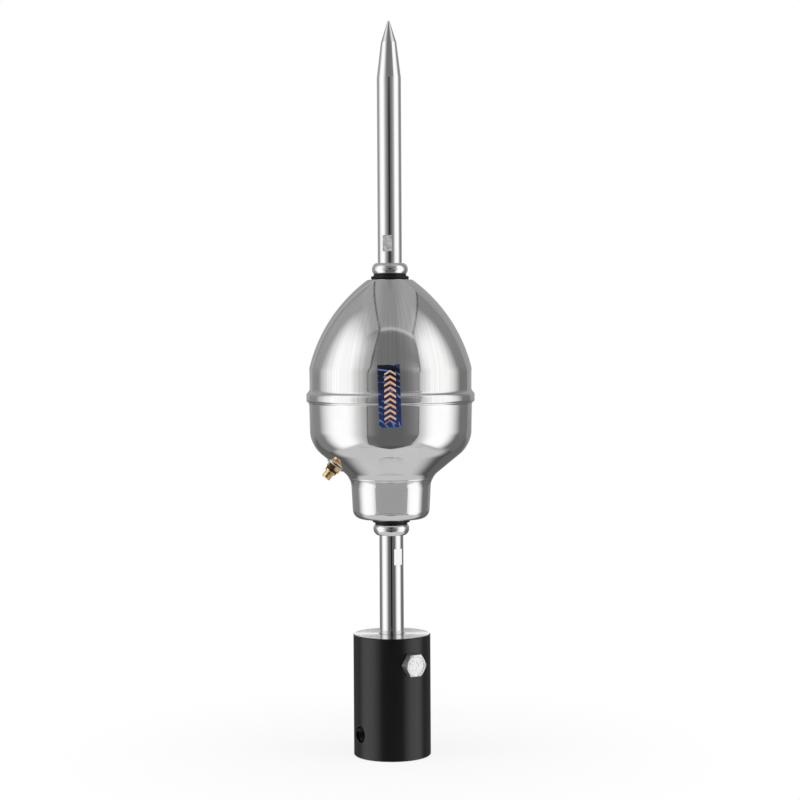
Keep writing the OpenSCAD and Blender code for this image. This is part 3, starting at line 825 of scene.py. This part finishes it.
def mill_flat(bm, facing, low, high):
    """Mills one flat, whose outward direction is facing, between two heights."""
    depth = FLAT_HALF * MM
    band = band_faces(bm, low, high)
    edges = list({e for f in band for e in f.edges})
    bmesh.ops.bisect_plane(bm, geom=band + edges, plane_co=facing * depth, plane_no=facing, dist=CUT_NEAR)
    chips = [f for f in band_faces(bm, low, high) if f.calc_center_median().dot(facing) > depth]
    bmesh.ops.delete(bm, geom=chips, context="FACES")
    rim = [e for e in bm.edges if e.is_boundary]
    uprights = [e for e in rim if not at_level(e.verts[0], e.verts[1].co.z / MM)]
    flat = list(uprights)
    for level in (low, high):
        ends = [v for e in uprights for v in e.verts if at_level(v, level)]
        chord = bmesh.ops.contextual_create(bm, geom=ends)["edges"]
        ledge = [e for e in rim if all(at_level(v, level) for v in e.verts)]
        bmesh.ops.contextual_create(bm, geom=ledge + chord)
        flat += chord
    face = bmesh.ops.contextual_create(bm, geom=flat)["faces"][0]
    face.material_index = FLAT_MATERIAL


def mill_flats(bm, turned, low):
    high = low + FLAT_H
    for level in (low, high):
        bmesh.ops.bisect_plane(bm, geom=whole(bm), dist=CUT_NEAR,
                               plane_co=(0, 0, level * MM), plane_no=(0, 0, 1))
    for side in (0, 180):
        mill_flat(bm, turn(turned + side) @ Vector((0, -1, 0)), low, high)
    bmesh.ops.recalc_face_normals(bm, faces=bm.faces)


# %% Finial rod
ROD_STEPS, ROD_SHARP, STUD_EASE = 96, 12.0, 0.8
FINIAL_LOW, FINIAL_FLAT_GAP, FINIAL_FLAT_TURN = 333.5, 8.7, -12.6
TAPER_Z, POINT_R, POINT_Z = 507.8, 5.8, 534.0
TIP_R, TIP_FROM = 1.0, 17.744

tip = (0, Z_TIP - TIP_R)
pen = Pen(0, FINIAL_LOW).line(STUD_R - STUD_EASE, FINIAL_LOW).line(STUD_R, FINIAL_LOW + STUD_EASE)
pen.line(STUD_R, Z_FINIAL - COLLAR_SINK).line(ROD_R, Z_FINIAL - COLLAR_SINK)
pen.line(ROD_R, TAPER_Z).line(POINT_R, POINT_Z).line(*on_arc(tip, TIP_R, TIP_FROM))
pen.arc(*tip, TIP_FROM, 90, pace=8.0)
bm = lathe(pen, ROD_STEPS)
mill_flats(bm, FINIAL_FLAT_TURN, Z_FINIAL + FINIAL_FLAT_GAP)
add_piece(bm, "finial_bar", [rod_polish, milled_flat], "polished_steel", "finial_rod", sharp=ROD_SHARP)

# %% Support rod
SUPPORT_LOW, SUPPORT_HIGH, SUPPORT_EASE = 55.0, 202.4, 1.0
SUPPORT_FLAT_GAP, SUPPORT_FLAT_TURN = 10.2, 37.0

pen = Pen(0, SUPPORT_LOW).line(ROD_R - SUPPORT_EASE, SUPPORT_LOW).line(ROD_R, SUPPORT_LOW + SUPPORT_EASE)
pen.line(ROD_R, Z_LOW_COLLAR + COLLAR_SINK).line(STUD_R, Z_LOW_COLLAR + COLLAR_SINK)
pen.line(STUD_R, SUPPORT_HIGH - STUD_EASE).line(STUD_R - STUD_EASE, SUPPORT_HIGH).line(0, SUPPORT_HIGH)
bm = lathe(pen, ROD_STEPS)
mill_flats(bm, SUPPORT_FLAT_TURN, Z_LOW_COLLAR - SUPPORT_FLAT_GAP - FLAT_H)
add_piece(bm, "support_bar", [rod_polish, bright_flat], "polished_steel", "support_rod", sharp=ROD_SHARP)

# %% [markdown]
# ## Collars and seals
# A full-round polished collar takes the end of each rod, and a rubber ring with a rounded lip
# sits between collar and shell. Both are rings: the pen closes its line round the bore. The
# lower pair is the upper pair turned upside down.

# %% Collars and seals
COLLAR_H, COLLAR_ROUND, COLLAR_ROUND_R = 8.2, (8.1, 3.5), 5.4
COLLAR_FROM, COLLAR_TO = -40.40, 60.50
SEAL_H, SEAL_R, SEAL_LIP, SEAL_LAND_R = 4.1, 12.85, 1.4, 12.2
UPSIDE_DOWN = Matrix.Scale(-1, 4, (0, 0, 1))


def collar_ring():
    pen = Pen(*on_arc(COLLAR_ROUND, COLLAR_ROUND_R, COLLAR_FROM))
    pen.arc(*COLLAR_ROUND, COLLAR_FROM, COLLAR_TO, pace=3.0)
    pen.line(ROD_R + SLIP, COLLAR_H).line(ROD_R + SLIP, COLLAR_H - COLLAR_SINK)
    pen.line(STUD_R + SLIP, COLLAR_H - COLLAR_SINK).line(STUD_R + SLIP, 0)
    return lathe(pen.close(), 128)


def seal_ring():
    pen = Pen(STUD_R + SLIP, 0).line(SEAL_R, 0).arc(SEAL_R, SEAL_LIP, -90, 90, pace=10.0)
    pen.line(SEAL_LAND_R, 2 * SEAL_LIP).line(SEAL_LAND_R, SEAL_H).line(STUD_R + SLIP, SEAL_H)
    return lathe(pen.close(), 96)


def stand(bm, level, flipped):
    if flipped:
        placed(bm, UPSIDE_DOWN)
        bmesh.ops.recalc_face_normals(bm, faces=bm.faces)
    return placed(bm, Matrix.Translation((0, 0, level * MM)))


for end, level, flipped in (("upper", Z_UP_COLLAR, False), ("lower", Z_LOW_SEAL, True)):
    add_piece(stand(collar_ring(), level, flipped), end + "_collar_ring", [collar_polish],
              "polished_steel", end + "_collar")
for end, level, flipped in (("upper", Z_TOP, False), ("lower", Z_BODY, True)):
    add_piece(stand(seal_ring(), level, flipped), end + "_seal_ring", [seal_rubber],
              "seal_rubber", end + "_seal")

# %% [markdown]
# ## The spun head
# Dome and bowl are spun from 1 mm sheet. The pen follows the outer face, the lathe closes it
# round, and the sheet gets its thickness inwards. The lip of the dome curls in under its bead,
# and the rim of the bowl is stepped in so that it slips inside that lip. A fine ridge marks the
# top of the neck. Each arc is given by its centre and runs smoothly into the next.

# %% Sheet helper
SHEET = 1.0


def face_out(bm):
    """Points the faces of an open shell away from the axis."""
    widest = max(bm.faces, key=lambda f: f.calc_center_median().to_2d().length)
    if widest.normal.to_2d().dot(widest.calc_center_median().to_2d()) < 0:
        bmesh.ops.reverse_faces(bm, faces=bm.faces)


def thicken(bm, thickness):
    face_out(bm)
    bmesh.ops.solidify(bm, geom=bm.faces[:], thickness=thickness * MM)
    bmesh.ops.recalc_face_normals(bm, faces=bm.faces)
    return bm


# %% Dome
PORT_R, SKIRT_R, BEAD_R, BEAD_BLEND = 9.9, 61.0, 63.4, 3.8
SHOULDER = (16.0931, Z_TOP - 2.0)
OGIVE, OGIVE_FROM, OGIVE_TO = (-51.5255, Z_SEAM - 2.1835), 53.471, 14.419
KNEE = (43.0, Z_SEAM + 22.1207)
BEAD_FOOT, BEAD, BEAD_TURN = Z_SEAM + 9.7, (59.6, Z_SEAM + 4.1574), 46.826
LIP, LIP_TURN = (61.2, Z_SEAM + 1.6853), 50.0

pen = Pen(PORT_R, Z_TOP).line(SHOULDER[0], Z_TOP).arc(*SHOULDER, 90, OGIVE_FROM, pace=3.0)
pen.arc(*OGIVE, OGIVE_FROM, OGIVE_TO, pace=0.6).arc(*KNEE, OGIVE_TO, 0, pace=1.0)
pen.line(SKIRT_R, BEAD_FOOT).arc(SKIRT_R + BEAD_BLEND, BEAD_FOOT, 180, 180 + BEAD_TURN, pace=3.0)
pen.arc(*BEAD, BEAD_TURN, 0, pace=3.0).line(BEAD_R, LIP[1]).arc(*LIP, 0, -LIP_TURN)
add_piece(thicken(lathe(pen), SHEET), "dome_shell", [spun_shell], "shell_steel", "upper_shell")

# %% Bowl
RIM_R, RIM_LAP, STEP_R, STEP_TURN = 61.9213, 4.0, 1.6, 32.501
WALL_LEAN, CONE_LEAN, NECK_LEAN = 2.2, 50.7, 3.0
STEP = (63.0202, Z_SEAM - 1.7194)
BOWL, BOWL_R = (35.6817, Z_BODY + 67.5677), 25.0
NECK, NECK_R = (44.7413, Z_BODY + 23.2926), 15.0
FOOT, FOOT_R = (21.8572, Z_BODY + 7.0), 7.0
RIDGE_R, RIDGE_AT, RIDGE_TURN = 1.4, 152.6, 2.5

pen = Pen(RIM_R, Z_SEAM + RIM_LAP).line(RIM_R, Z_SEAM).arc(RIM_R - STEP_R, Z_SEAM, 0, -STEP_TURN)
pen.arc(*STEP, 180 - STEP_TURN, 180 - WALL_LEAN).line(*on_arc(BOWL, BOWL_R, -WALL_LEAN))
pen.arc(*BOWL, -WALL_LEAN, -CONE_LEAN, pace=1.0).line(*on_arc(NECK, NECK_R, 180 - CONE_LEAN))
pen.arc(*NECK, 180 - CONE_LEAN, RIDGE_AT - RIDGE_TURN, pace=1.0)
half_chord = NECK_R * math.sin(math.radians(RIDGE_TURN))
swell = math.degrees(math.asin(half_chord / RIDGE_R))
ridge_gap = NECK_R * math.cos(math.radians(RIDGE_TURN)) + RIDGE_R * math.cos(math.radians(swell))
ridge = on_arc(NECK, ridge_gap, RIDGE_AT)
pen.arc(*ridge, RIDGE_AT - 180 + swell, RIDGE_AT - 180 - swell, pace=5.0)
pen.arc(*NECK, RIDGE_AT + RIDGE_TURN, 180 - NECK_LEAN, pace=1.0)
pen.line(*on_arc(FOOT, FOOT_R, -NECK_LEAN)).arc(*FOOT, -NECK_LEAN, -90, pace=2.0).line(PORT_R, Z_BODY)
add_piece(thicken(lathe(pen), SHEET), "bowl_shell", [spun_bowl], "shell_steel", "lower_shell")

# %% [markdown]
# ## The mast sleeve
# A black sleeve with a socket for the support rod above, a wide bore for the mast tube below,
# and two tapped holes in its wall. The lathe gives the sleeve; the holes cross its round wall,
# where no single operator makes the edge, so a turned cutter is taken away by a boolean that is
# applied at once. The cutter of the open hole carries the grooves of its thread.

# %% Carving helper
SLIVER = 2e-6


def carve(piece, cutter_bm, operation="DIFFERENCE"):
    """Applies one boolean to a piece, clears its slivers and throws the cutter away."""
    tool = link("cutter", mesh_of(cutter_bm, "cutter"))
    cut = piece.modifiers.new("cut", "BOOLEAN")
    cut.object = tool
    cut.operation = operation
    cut.solver = "EXACT"
    shape = piece.evaluated_get(bpy.context.evaluated_depsgraph_get())
    carved = bpy.data.meshes.new_from_object(shape)
    bm = bmesh.new()
    bm.from_mesh(carved)
    bmesh.ops.remove_doubles(bm, verts=bm.verts, dist=SLIVER)
    bmesh.ops.dissolve_degenerate(bm, edges=bm.edges, dist=SLIVER)
    bm.to_mesh(carved)
    bm.free()
    piece.modifiers.remove(cut)
    used = (piece.data, tool.data)
    piece.data = carved
    bpy.data.objects.remove(tool)
    for mesh in used:
        bpy.data.meshes.remove(mesh)
    carved.name = piece.name


def at_side(turned, level):
    """Place on the side of the sleeve, local +Z pointing outwards."""
    return turn(turned) @ Matrix.Translation((0, 0, level * MM)) @ turn(90, "X")


# %% Sleeve
SLEEVE_R, SLEEVE_H, EDGE = 29.0, 91.5, 0.6
BORE_R, BORE_H = 21.5, 46.0
SOCKET_R = ROD_R + SLIP
SLEEVE_SHARP = 30.0
TOP_MATERIAL = 1

pen = Pen(0, BORE_H).line(BORE_R, BORE_H).line(BORE_R, EDGE).line(BORE_R + EDGE, 0)
pen.line(SLEEVE_R - EDGE, 0).line(SLEEVE_R, EDGE).line(SLEEVE_R, SLEEVE_H - EDGE)
pen.line(SLEEVE_R - EDGE, SLEEVE_H).line(SOCKET_R + EDGE, SLEEVE_H).line(SOCKET_R, SLEEVE_H - EDGE)
pen.line(SOCKET_R, SUPPORT_LOW).line(0, SUPPORT_LOW)
bm = lathe(pen, 144)
top_z = max(v.co.z for v in bm.verts)
for face in bm.faces:
    if all(v.co.z > top_z - WELD for v in face.verts):
        face.material_index = TOP_MATERIAL
sleeve = add_piece(bm, "mast_sleeve", [satin_black, turned_top], "black_coat", "mast_adaptor")

# %% Tapped holes
BOLT_TURN, BOLT_Z, SHANK_R = 31.0, 71.9, 5.0
HOLE_TURN, HOLE_Z, HOLE_R, HOLE_SINK = -57.0, 18.0, 6.2, 0.6
THREAD_PITCH, THREAD_DEPTH, THREAD_TURNS = 1.5, 0.5, 7
IN_SOCKET, IN_BORE, OUTSIDE = 4.0, 16.0, 32.0

pen = Pen(0, IN_SOCKET).line(SHANK_R + SLIP, IN_SOCKET).line(SHANK_R + SLIP, OUTSIDE).line(0, OUTSIDE)
carve(sleeve, placed(lathe(pen, 48), at_side(BOLT_TURN, BOLT_Z)))
pen = Pen(0, IN_BORE).line(HOLE_R, IN_BORE)
for groove in range(THREAD_TURNS):
    start = IN_BORE + groove * THREAD_PITCH
    pen.step(HOLE_R + THREAD_DEPTH, start + THREAD_PITCH / 2)
    pen.step(HOLE_R, start + THREAD_PITCH)
pen.line(HOLE_R, SLEEVE_R - HOLE_SINK).line(HOLE_R + 2 * HOLE_SINK, SLEEVE_R + HOLE_SINK)
pen.line(0, SLEEVE_R + HOLE_SINK)
carve(sleeve, placed(lathe(pen, 64), at_side(HOLE_TURN, HOLE_Z)))
shade(sleeve.data, SLEEVE_SHARP)
print("sleeve with holes:", len(sleeve.data.polygons), "faces")

# %% [markdown]
# ## Clamp bolt
# A zinc-plated hexagon bolt holds the rod in the sleeve. The six-sided bar is trimmed by a
# turned cone, which leaves the round face and the curved corners that every hexagon head has.
# The face is pressed in a little inside that ring, as a forged head is. A bevel of the bar's
# edges would be quicker, but it can't give those curved corners.

# %% Hexagon helper
HEX_FACE_SHARE = 0.475
CONE_SLOPE = 2.0
PAST = 1.0
LAP = 0.5


def hex_bar(across, low, high):
    """Six-sided bar with a corner on local +X, like the CAD hexagon."""
    bm = bmesh.new()
    radius = across / math.sqrt(3) * MM
    bmesh.ops.create_cone(bm, cap_ends=True, segments=6, radius1=radius, radius2=radius,
                          depth=(high - low) * MM)
    return placed(bm, Matrix.Translation((0, 0, (low + high) / 2 * MM)) @ turn(30))


def trimming_cone(face_r, low, high):
    """The pen of the cone that trims a bar, up to the rim of its round face."""
    wide = face_r + CONE_SLOPE * (high - low)
    pen = Pen(0, low - PAST).line(wide + CONE_SLOPE * PAST, low - PAST)
    return pen.line(wide, low).line(face_r, high)


# %% Clamp bolt
BOLT_AF, HEAD_TOP = 16.0, SLEEVE_R + 6.4
FACE_RIM, FACE_SLOPE, FACE_SINK = 0.8, 0.5, 0.22
SHANK_EASE = 1.0

bolt = add_piece(hex_bar(BOLT_AF, SLEEVE_R, HEAD_TOP), "clamp_bolt_hex", [zinc_plate],
                 "zinc_steel", "clamp_bolt")
face_r = BOLT_AF * HEX_FACE_SHARE
pen = trimming_cone(face_r, SLEEVE_R, HEAD_TOP).line(face_r - FACE_RIM, HEAD_TOP)
pen.line(face_r - FACE_RIM - FACE_SLOPE, HEAD_TOP - FACE_SINK).line(0, HEAD_TOP - FACE_SINK)
carve(bolt, lathe(pen, 96), "INTERSECT")
pen = Pen(0, ROD_R).line(SHANK_R - SHANK_EASE, ROD_R).line(SHANK_R, ROD_R + SHANK_EASE)
pen.line(SHANK_R, SLEEVE_R + LAP).line(0, SLEEVE_R + LAP)
carve(bolt, lathe(pen, 64), "UNION")
bolt.data.transform(at_side(BOLT_TURN, BOLT_Z))
shade(bolt.data, sharp=20.0)
print("bolt:", len(bolt.data.polygons), "faces")

# %% [markdown]
# ## Test jack
# A small gilded socket sits on the cone of the bowl. Its washer, hexagon, black ring, flange
# and barrel are turned along one axis, so they are drawn upright and then laid on the cone.
# Heights are measured from the face of the cone, outwards.

# %% Place and levels of the jack
JACK_R, JACK_Z, JACK_TURN = 42.5, 219.242, -77.0
TAIL_LOW, HEX_LOW, HEX_TOP, FLANGE_LOW, FLANGE_TOP, JACK_END = -6.0, 0.8, 4.2, 5.5, 6.7, 12.0
GROOVE_R, TAIL_R, BARREL_R, JACK_BORE, FLANGE_R = 3.35, 3.2, 3.3, 2.4, 4.5
CRISP, SOFT = 0.15, 0.2

on_cone = Matrix.Translation((0, -JACK_R * MM, JACK_Z * MM)) @ turn(90 + CONE_LEAN, "X")
at_jack = turn(JACK_TURN) @ on_cone
print("jack at", tuple(round(v, 4) for v in at_jack.translation))

# %% Jack socket
JACK_AF, TAIL_EASE, MOUTH = 9.8, 0.4, 0.3

jack = add_piece(hex_bar(JACK_AF, HEX_LOW, HEX_TOP), "jack_socket", [gilded_brass],
                 "gold_brass", "jack_body")
pen = trimming_cone(JACK_AF * HEX_FACE_SHARE, HEX_LOW, HEX_TOP).line(0, HEX_TOP)
carve(jack, lathe(pen, 64), "INTERSECT")
pen = Pen(0, TAIL_LOW).line(TAIL_R - TAIL_EASE, TAIL_LOW).line(TAIL_R, TAIL_LOW + TAIL_EASE)
pen.line(TAIL_R, HEX_LOW + LAP).line(GROOVE_R, HEX_LOW + LAP).line(GROOVE_R, FLANGE_LOW)
pen.line(FLANGE_R - CRISP, FLANGE_LOW).line(FLANGE_R, FLANGE_LOW + CRISP)
pen.line(FLANGE_R, FLANGE_TOP - CRISP).line(FLANGE_R - CRISP, FLANGE_TOP).line(BARREL_R, FLANGE_TOP)
pen.line(BARREL_R, JACK_END - MOUTH).line(BARREL_R - MOUTH, JACK_END).line(0, JACK_END)
carve(jack, lathe(pen, 64), "UNION")
pen = Pen(0, TAIL_LOW - PAST).line(JACK_BORE, TAIL_LOW - PAST).line(JACK_BORE, JACK_END - MOUTH)
pen.line(JACK_BORE + 2 * MOUTH, JACK_END + MOUTH).line(0, JACK_END + MOUTH)
carve(jack, lathe(pen, 48))
jack.data.transform(at_jack)
shade(jack.data, sharp=25.0)
print("jack:", len(jack.data.polygons), "faces")

# %% Washer and ring of the jack
WASHER_R, BLACK_RING_R = 7.1, 4.55

pen = Pen(TAIL_R + SLIP, 0).line(WASHER_R - CRISP, 0).line(WASHER_R, CRISP)
pen.line(WASHER_R, HEX_LOW - CRISP).line(WASHER_R - CRISP, HEX_LOW).line(TAIL_R + SLIP, HEX_LOW)
add_piece(placed(lathe(pen.close(), 64), at_jack), "jack_washer_ring", [collar_polish],
          "zinc_steel", "jack_washer")
pen = Pen(GROOVE_R + SLIP, HEX_TOP).line(BLACK_RING_R - SOFT, HEX_TOP).line(BLACK_RING_R, HEX_TOP + SOFT)
pen.line(BLACK_RING_R, FLANGE_LOW - SOFT).line(BLACK_RING_R - SOFT, FLANGE_LOW)
pen.line(GROOVE_R + SLIP, FLANGE_LOW)
add_piece(placed(lathe(pen.close(), 64), at_jack), "jack_black_ring", [ring_plastic],
          "ring_plastic", "jack_ring")

# %% Core and contact of the jack
CONTACT_R, CONTACT_BORE, CONTACT_LOW, CONTACT_TOP, CONTACT_SEAT = 1.0, 0.6, -9.0, 11.0, 7.0

core_in, core_out = CONTACT_R + SLIP, JACK_BORE - SLIP
pen = Pen(core_in, TAIL_LOW).line(core_out, TAIL_LOW).line(core_out, FLANGE_TOP - SOFT)
pen.line(core_out - SOFT, FLANGE_TOP).line(core_in, FLANGE_TOP)
add_piece(placed(lathe(pen.close(), 48), at_jack), "jack_insulating_core", [polyamide],
          "insulator", "jack_insulator")
pen = Pen(0, CONTACT_LOW).line(CONTACT_R - SOFT, CONTACT_LOW).line(CONTACT_R, CONTACT_LOW + SOFT)
pen.line(CONTACT_R, CONTACT_TOP - SOFT).line(CONTACT_R - SOFT, CONTACT_TOP)
pen.line(CONTACT_BORE, CONTACT_TOP).line(CONTACT_BORE, CONTACT_SEAT).line(0, CONTACT_SEAT)
add_piece(placed(lathe(pen, 32), at_jack), "jack_centre_contact", [gilded_brass],
          "gold_brass", "jack_contact")

# %% [markdown]
# ## Label print
# The print is a plain design of its own: a blue field that deepens upwards, pale ripples and a
# few orange chevrons with cream hearts. A picture could be laid on instead, but sums on the place
# keep every edge sharp at any distance. The ramps run over the label's own width and height.

# %% Label print
LABEL_W, LABEL_H, LABEL_Z = 16.1, 45.1, 272.5
FIELD = ((0.0, (0.009, 0.036, 0.15)), (0.55, (0.005, 0.015, 0.07)), (1.0, (0.001, 0.0015, 0.005)))
PALE_BLUE, ORANGE, CREAM = (0.16, 0.30, 0.68, 1), (0.72, 0.28, 0.06, 1), (0.75, 0.66, 0.55, 1)
CHEVRON_SLOPE, CHEVRON_HALF, CHEVRON_PITCH, CHEVRON_REACH = 0.22, 0.26, 0.045, 0.405

label_print, tree, shader, coords = finish("label_print", Roughness=0.22, Coat_Weight=0.6,
                                           Coat_Roughness=0.08)
_, x, _, z = object_place(tree)
across = size_of(tree, calc(tree, "DIVIDE", x, LABEL_W * MM))
up = calc(tree, "DIVIDE", calc(tree, "SUBTRACT", z, LABEL_Z * MM), LABEL_H * MM)
field = place(tree, "ShaderNodeValToRGB", {0: calc(tree, "ADD", up, 0.5)})
field.color_ramp.elements.new(FIELD[1][0])
for element, (position, colour) in zip(field.color_ramp.elements, FIELD):
    element.position = position
    element.color = (*colour, 1)
print("label field", len(field.color_ramp.elements), "tones")

# %% Ripples and chevrons
centred = place(tree, "ShaderNodeMapping", {"Vector": coords, "Location": (0.012, 0, -0.245)}).outputs[0]
ripples = place(tree, "ShaderNodeTexWave",
                {"Vector": centred, "Scale": 70.0, "Distortion": 3.5, "Detail": 3.0, "Detail Scale": 1.2},
                wave_type="RINGS", rings_direction="Y")
cloud = place_group(tree, handling_film, coords, Size=160.0)
glint = times(tree, calc(tree, "POWER", ripples.outputs["Fac"], 9.0), fade(tree, cloud, 0.42, 0.62))
ink = mix_colours(tree, glint, field.outputs["Color"], PALE_BLUE)
rising = calc(tree, "ADD", up, times(tree, across, CHEVRON_SLOPE))
teeth = calc(tree, "PINGPONG", rising, CHEVRON_PITCH)
from_middle = size_of(tree, calc(tree, "SUBTRACT", rising, 0.01))
inside = times(tree, calc(tree, "LESS_THAN", across, CHEVRON_HALF),
               calc(tree, "LESS_THAN", from_middle, CHEVRON_REACH))
ink = mix_colours(tree, times(tree, inside, fade(tree, teeth, 0.020, 0.026)), ink, ORANGE)
ink = mix_colours(tree, times(tree, inside, fade(tree, teeth, 0.033, 0.038)), ink, CREAM)
tree.links.new(ink, shader.inputs["Base Color"])
bump(tree, shader, cloud, 0.00003, 0.2)
print("label print", len(tree.nodes), "nodes")

# %% [markdown]
# ## Label film
# A printed film label bridges the bead. The pen follows the film's own section, which leaves
# the shell above and below the bead, a short spin makes a curved strip, and four straight cuts
# trim it to the leaning rectangle. A flat sheet shrunk onto the shell would sink into the bead.

# %% Label film
LABEL_TILT, LABEL_TURN, LABEL_SPAN = -1.6, -0.5, 24.0
FILM, LIFT = 0.2, 0.22
OGIVE_R, FILM_RISE, BEAD_TOUCH, LIP_TOUCH, WALL_TOUCH = 115.6, 14.0, 25.0, 20.0, 262.2611

wall_top = on_arc(STEP, STEP_R, 180 - WALL_LEAN)


def film_at_wall(z):
    """Point of the film over the leaning wall of the bowl."""
    return wall_top[0] - (wall_top[1] - z) * math.tan(math.radians(WALL_LEAN)) + LIFT, z


film_r, film_top = SKIRT_R + LIFT, OGIVE_TO + FILM_RISE
bead_in = on_arc(BEAD, BEAD_R - BEAD[0] + LIFT, BEAD_TOUCH)
leaving = bead_in[1] + (bead_in[0] - film_r) / math.tan(math.radians(BEAD_TOUCH))
pen = Pen(*on_arc(OGIVE, OGIVE_R + LIFT, film_top)).arc(*OGIVE, film_top, OGIVE_TO, pace=1.0)
pen.arc(*KNEE, OGIVE_TO, 0, pace=1.5).line(film_r, leaving)
pen.line(*bead_in).arc(*BEAD, BEAD_TOUCH, 0, pace=2.5).line(BEAD_R + LIFT, LIP[1])
pen.arc(*LIP, 0, -LIP_TOUCH, pace=2.5).line(*film_at_wall(WALL_TOUCH)).line(*film_at_wall(BOWL[1]))
placed(pen.bm, turn(-90 - LABEL_SPAN / 2))
bm = lathe(pen, 48, angle=LABEL_SPAN)
face_out(bm)
print("film strip", len(bm.faces), "faces")

# %% Trimming the label
lean = turn(LABEL_TURN) @ turn(LABEL_TILT, "Y")
middle = turn(LABEL_TURN) @ Vector((0, -SKIRT_R * MM, LABEL_Z * MM))
for direction, size in (((1, 0, 0), LABEL_W), ((-1, 0, 0), LABEL_W),
                        ((0, 0, 1), LABEL_H), ((0, 0, -1), LABEL_H)):
    outward = lean @ Vector(direction)
    bmesh.ops.bisect_plane(bm, geom=whole(bm), dist=CUT_NEAR, plane_no=outward, clear_outer=True,
                           plane_co=middle + outward * size / 2 * MM)
bmesh.ops.solidify(bm, geom=bm.faces[:], thickness=FILM * MM)
bmesh.ops.recalc_face_normals(bm, faces=bm.faces)
add_piece(bm, "label_film", [label_print], "label_film", "label", sharp=40.0)

# %% [markdown]
# ## Inside pieces
# The core bar, bushes, pulse unit, clip, solder tag, nut and leads stay as the CAD made them.
# Nothing shows them from outside, yet each gets its own finish for the day the head is opened.

# %% Finishes for the inside nodes
inside_finishes = {
    "core_bar": milled_flat, "pulse_clip": milled_flat, "upper_bush": polyamide, "lower_bush": polyamide,
    "jack_tag": gilded_brass, "jack_back_nut": gilded_brass, "pulse_case": case_plastic,
    "pulse_fill": potting_resin, "test_lead": red_sleeve, "shell_lead": black_sleeve}
for name, material in inside_finishes.items():
    slots = nodes[name].material_slots
    for slot in slots:
        slot.material = material
    if not slots:
        nodes[name].data.materials.append(material)
print("finished", len(inside_finishes), "inside nodes")
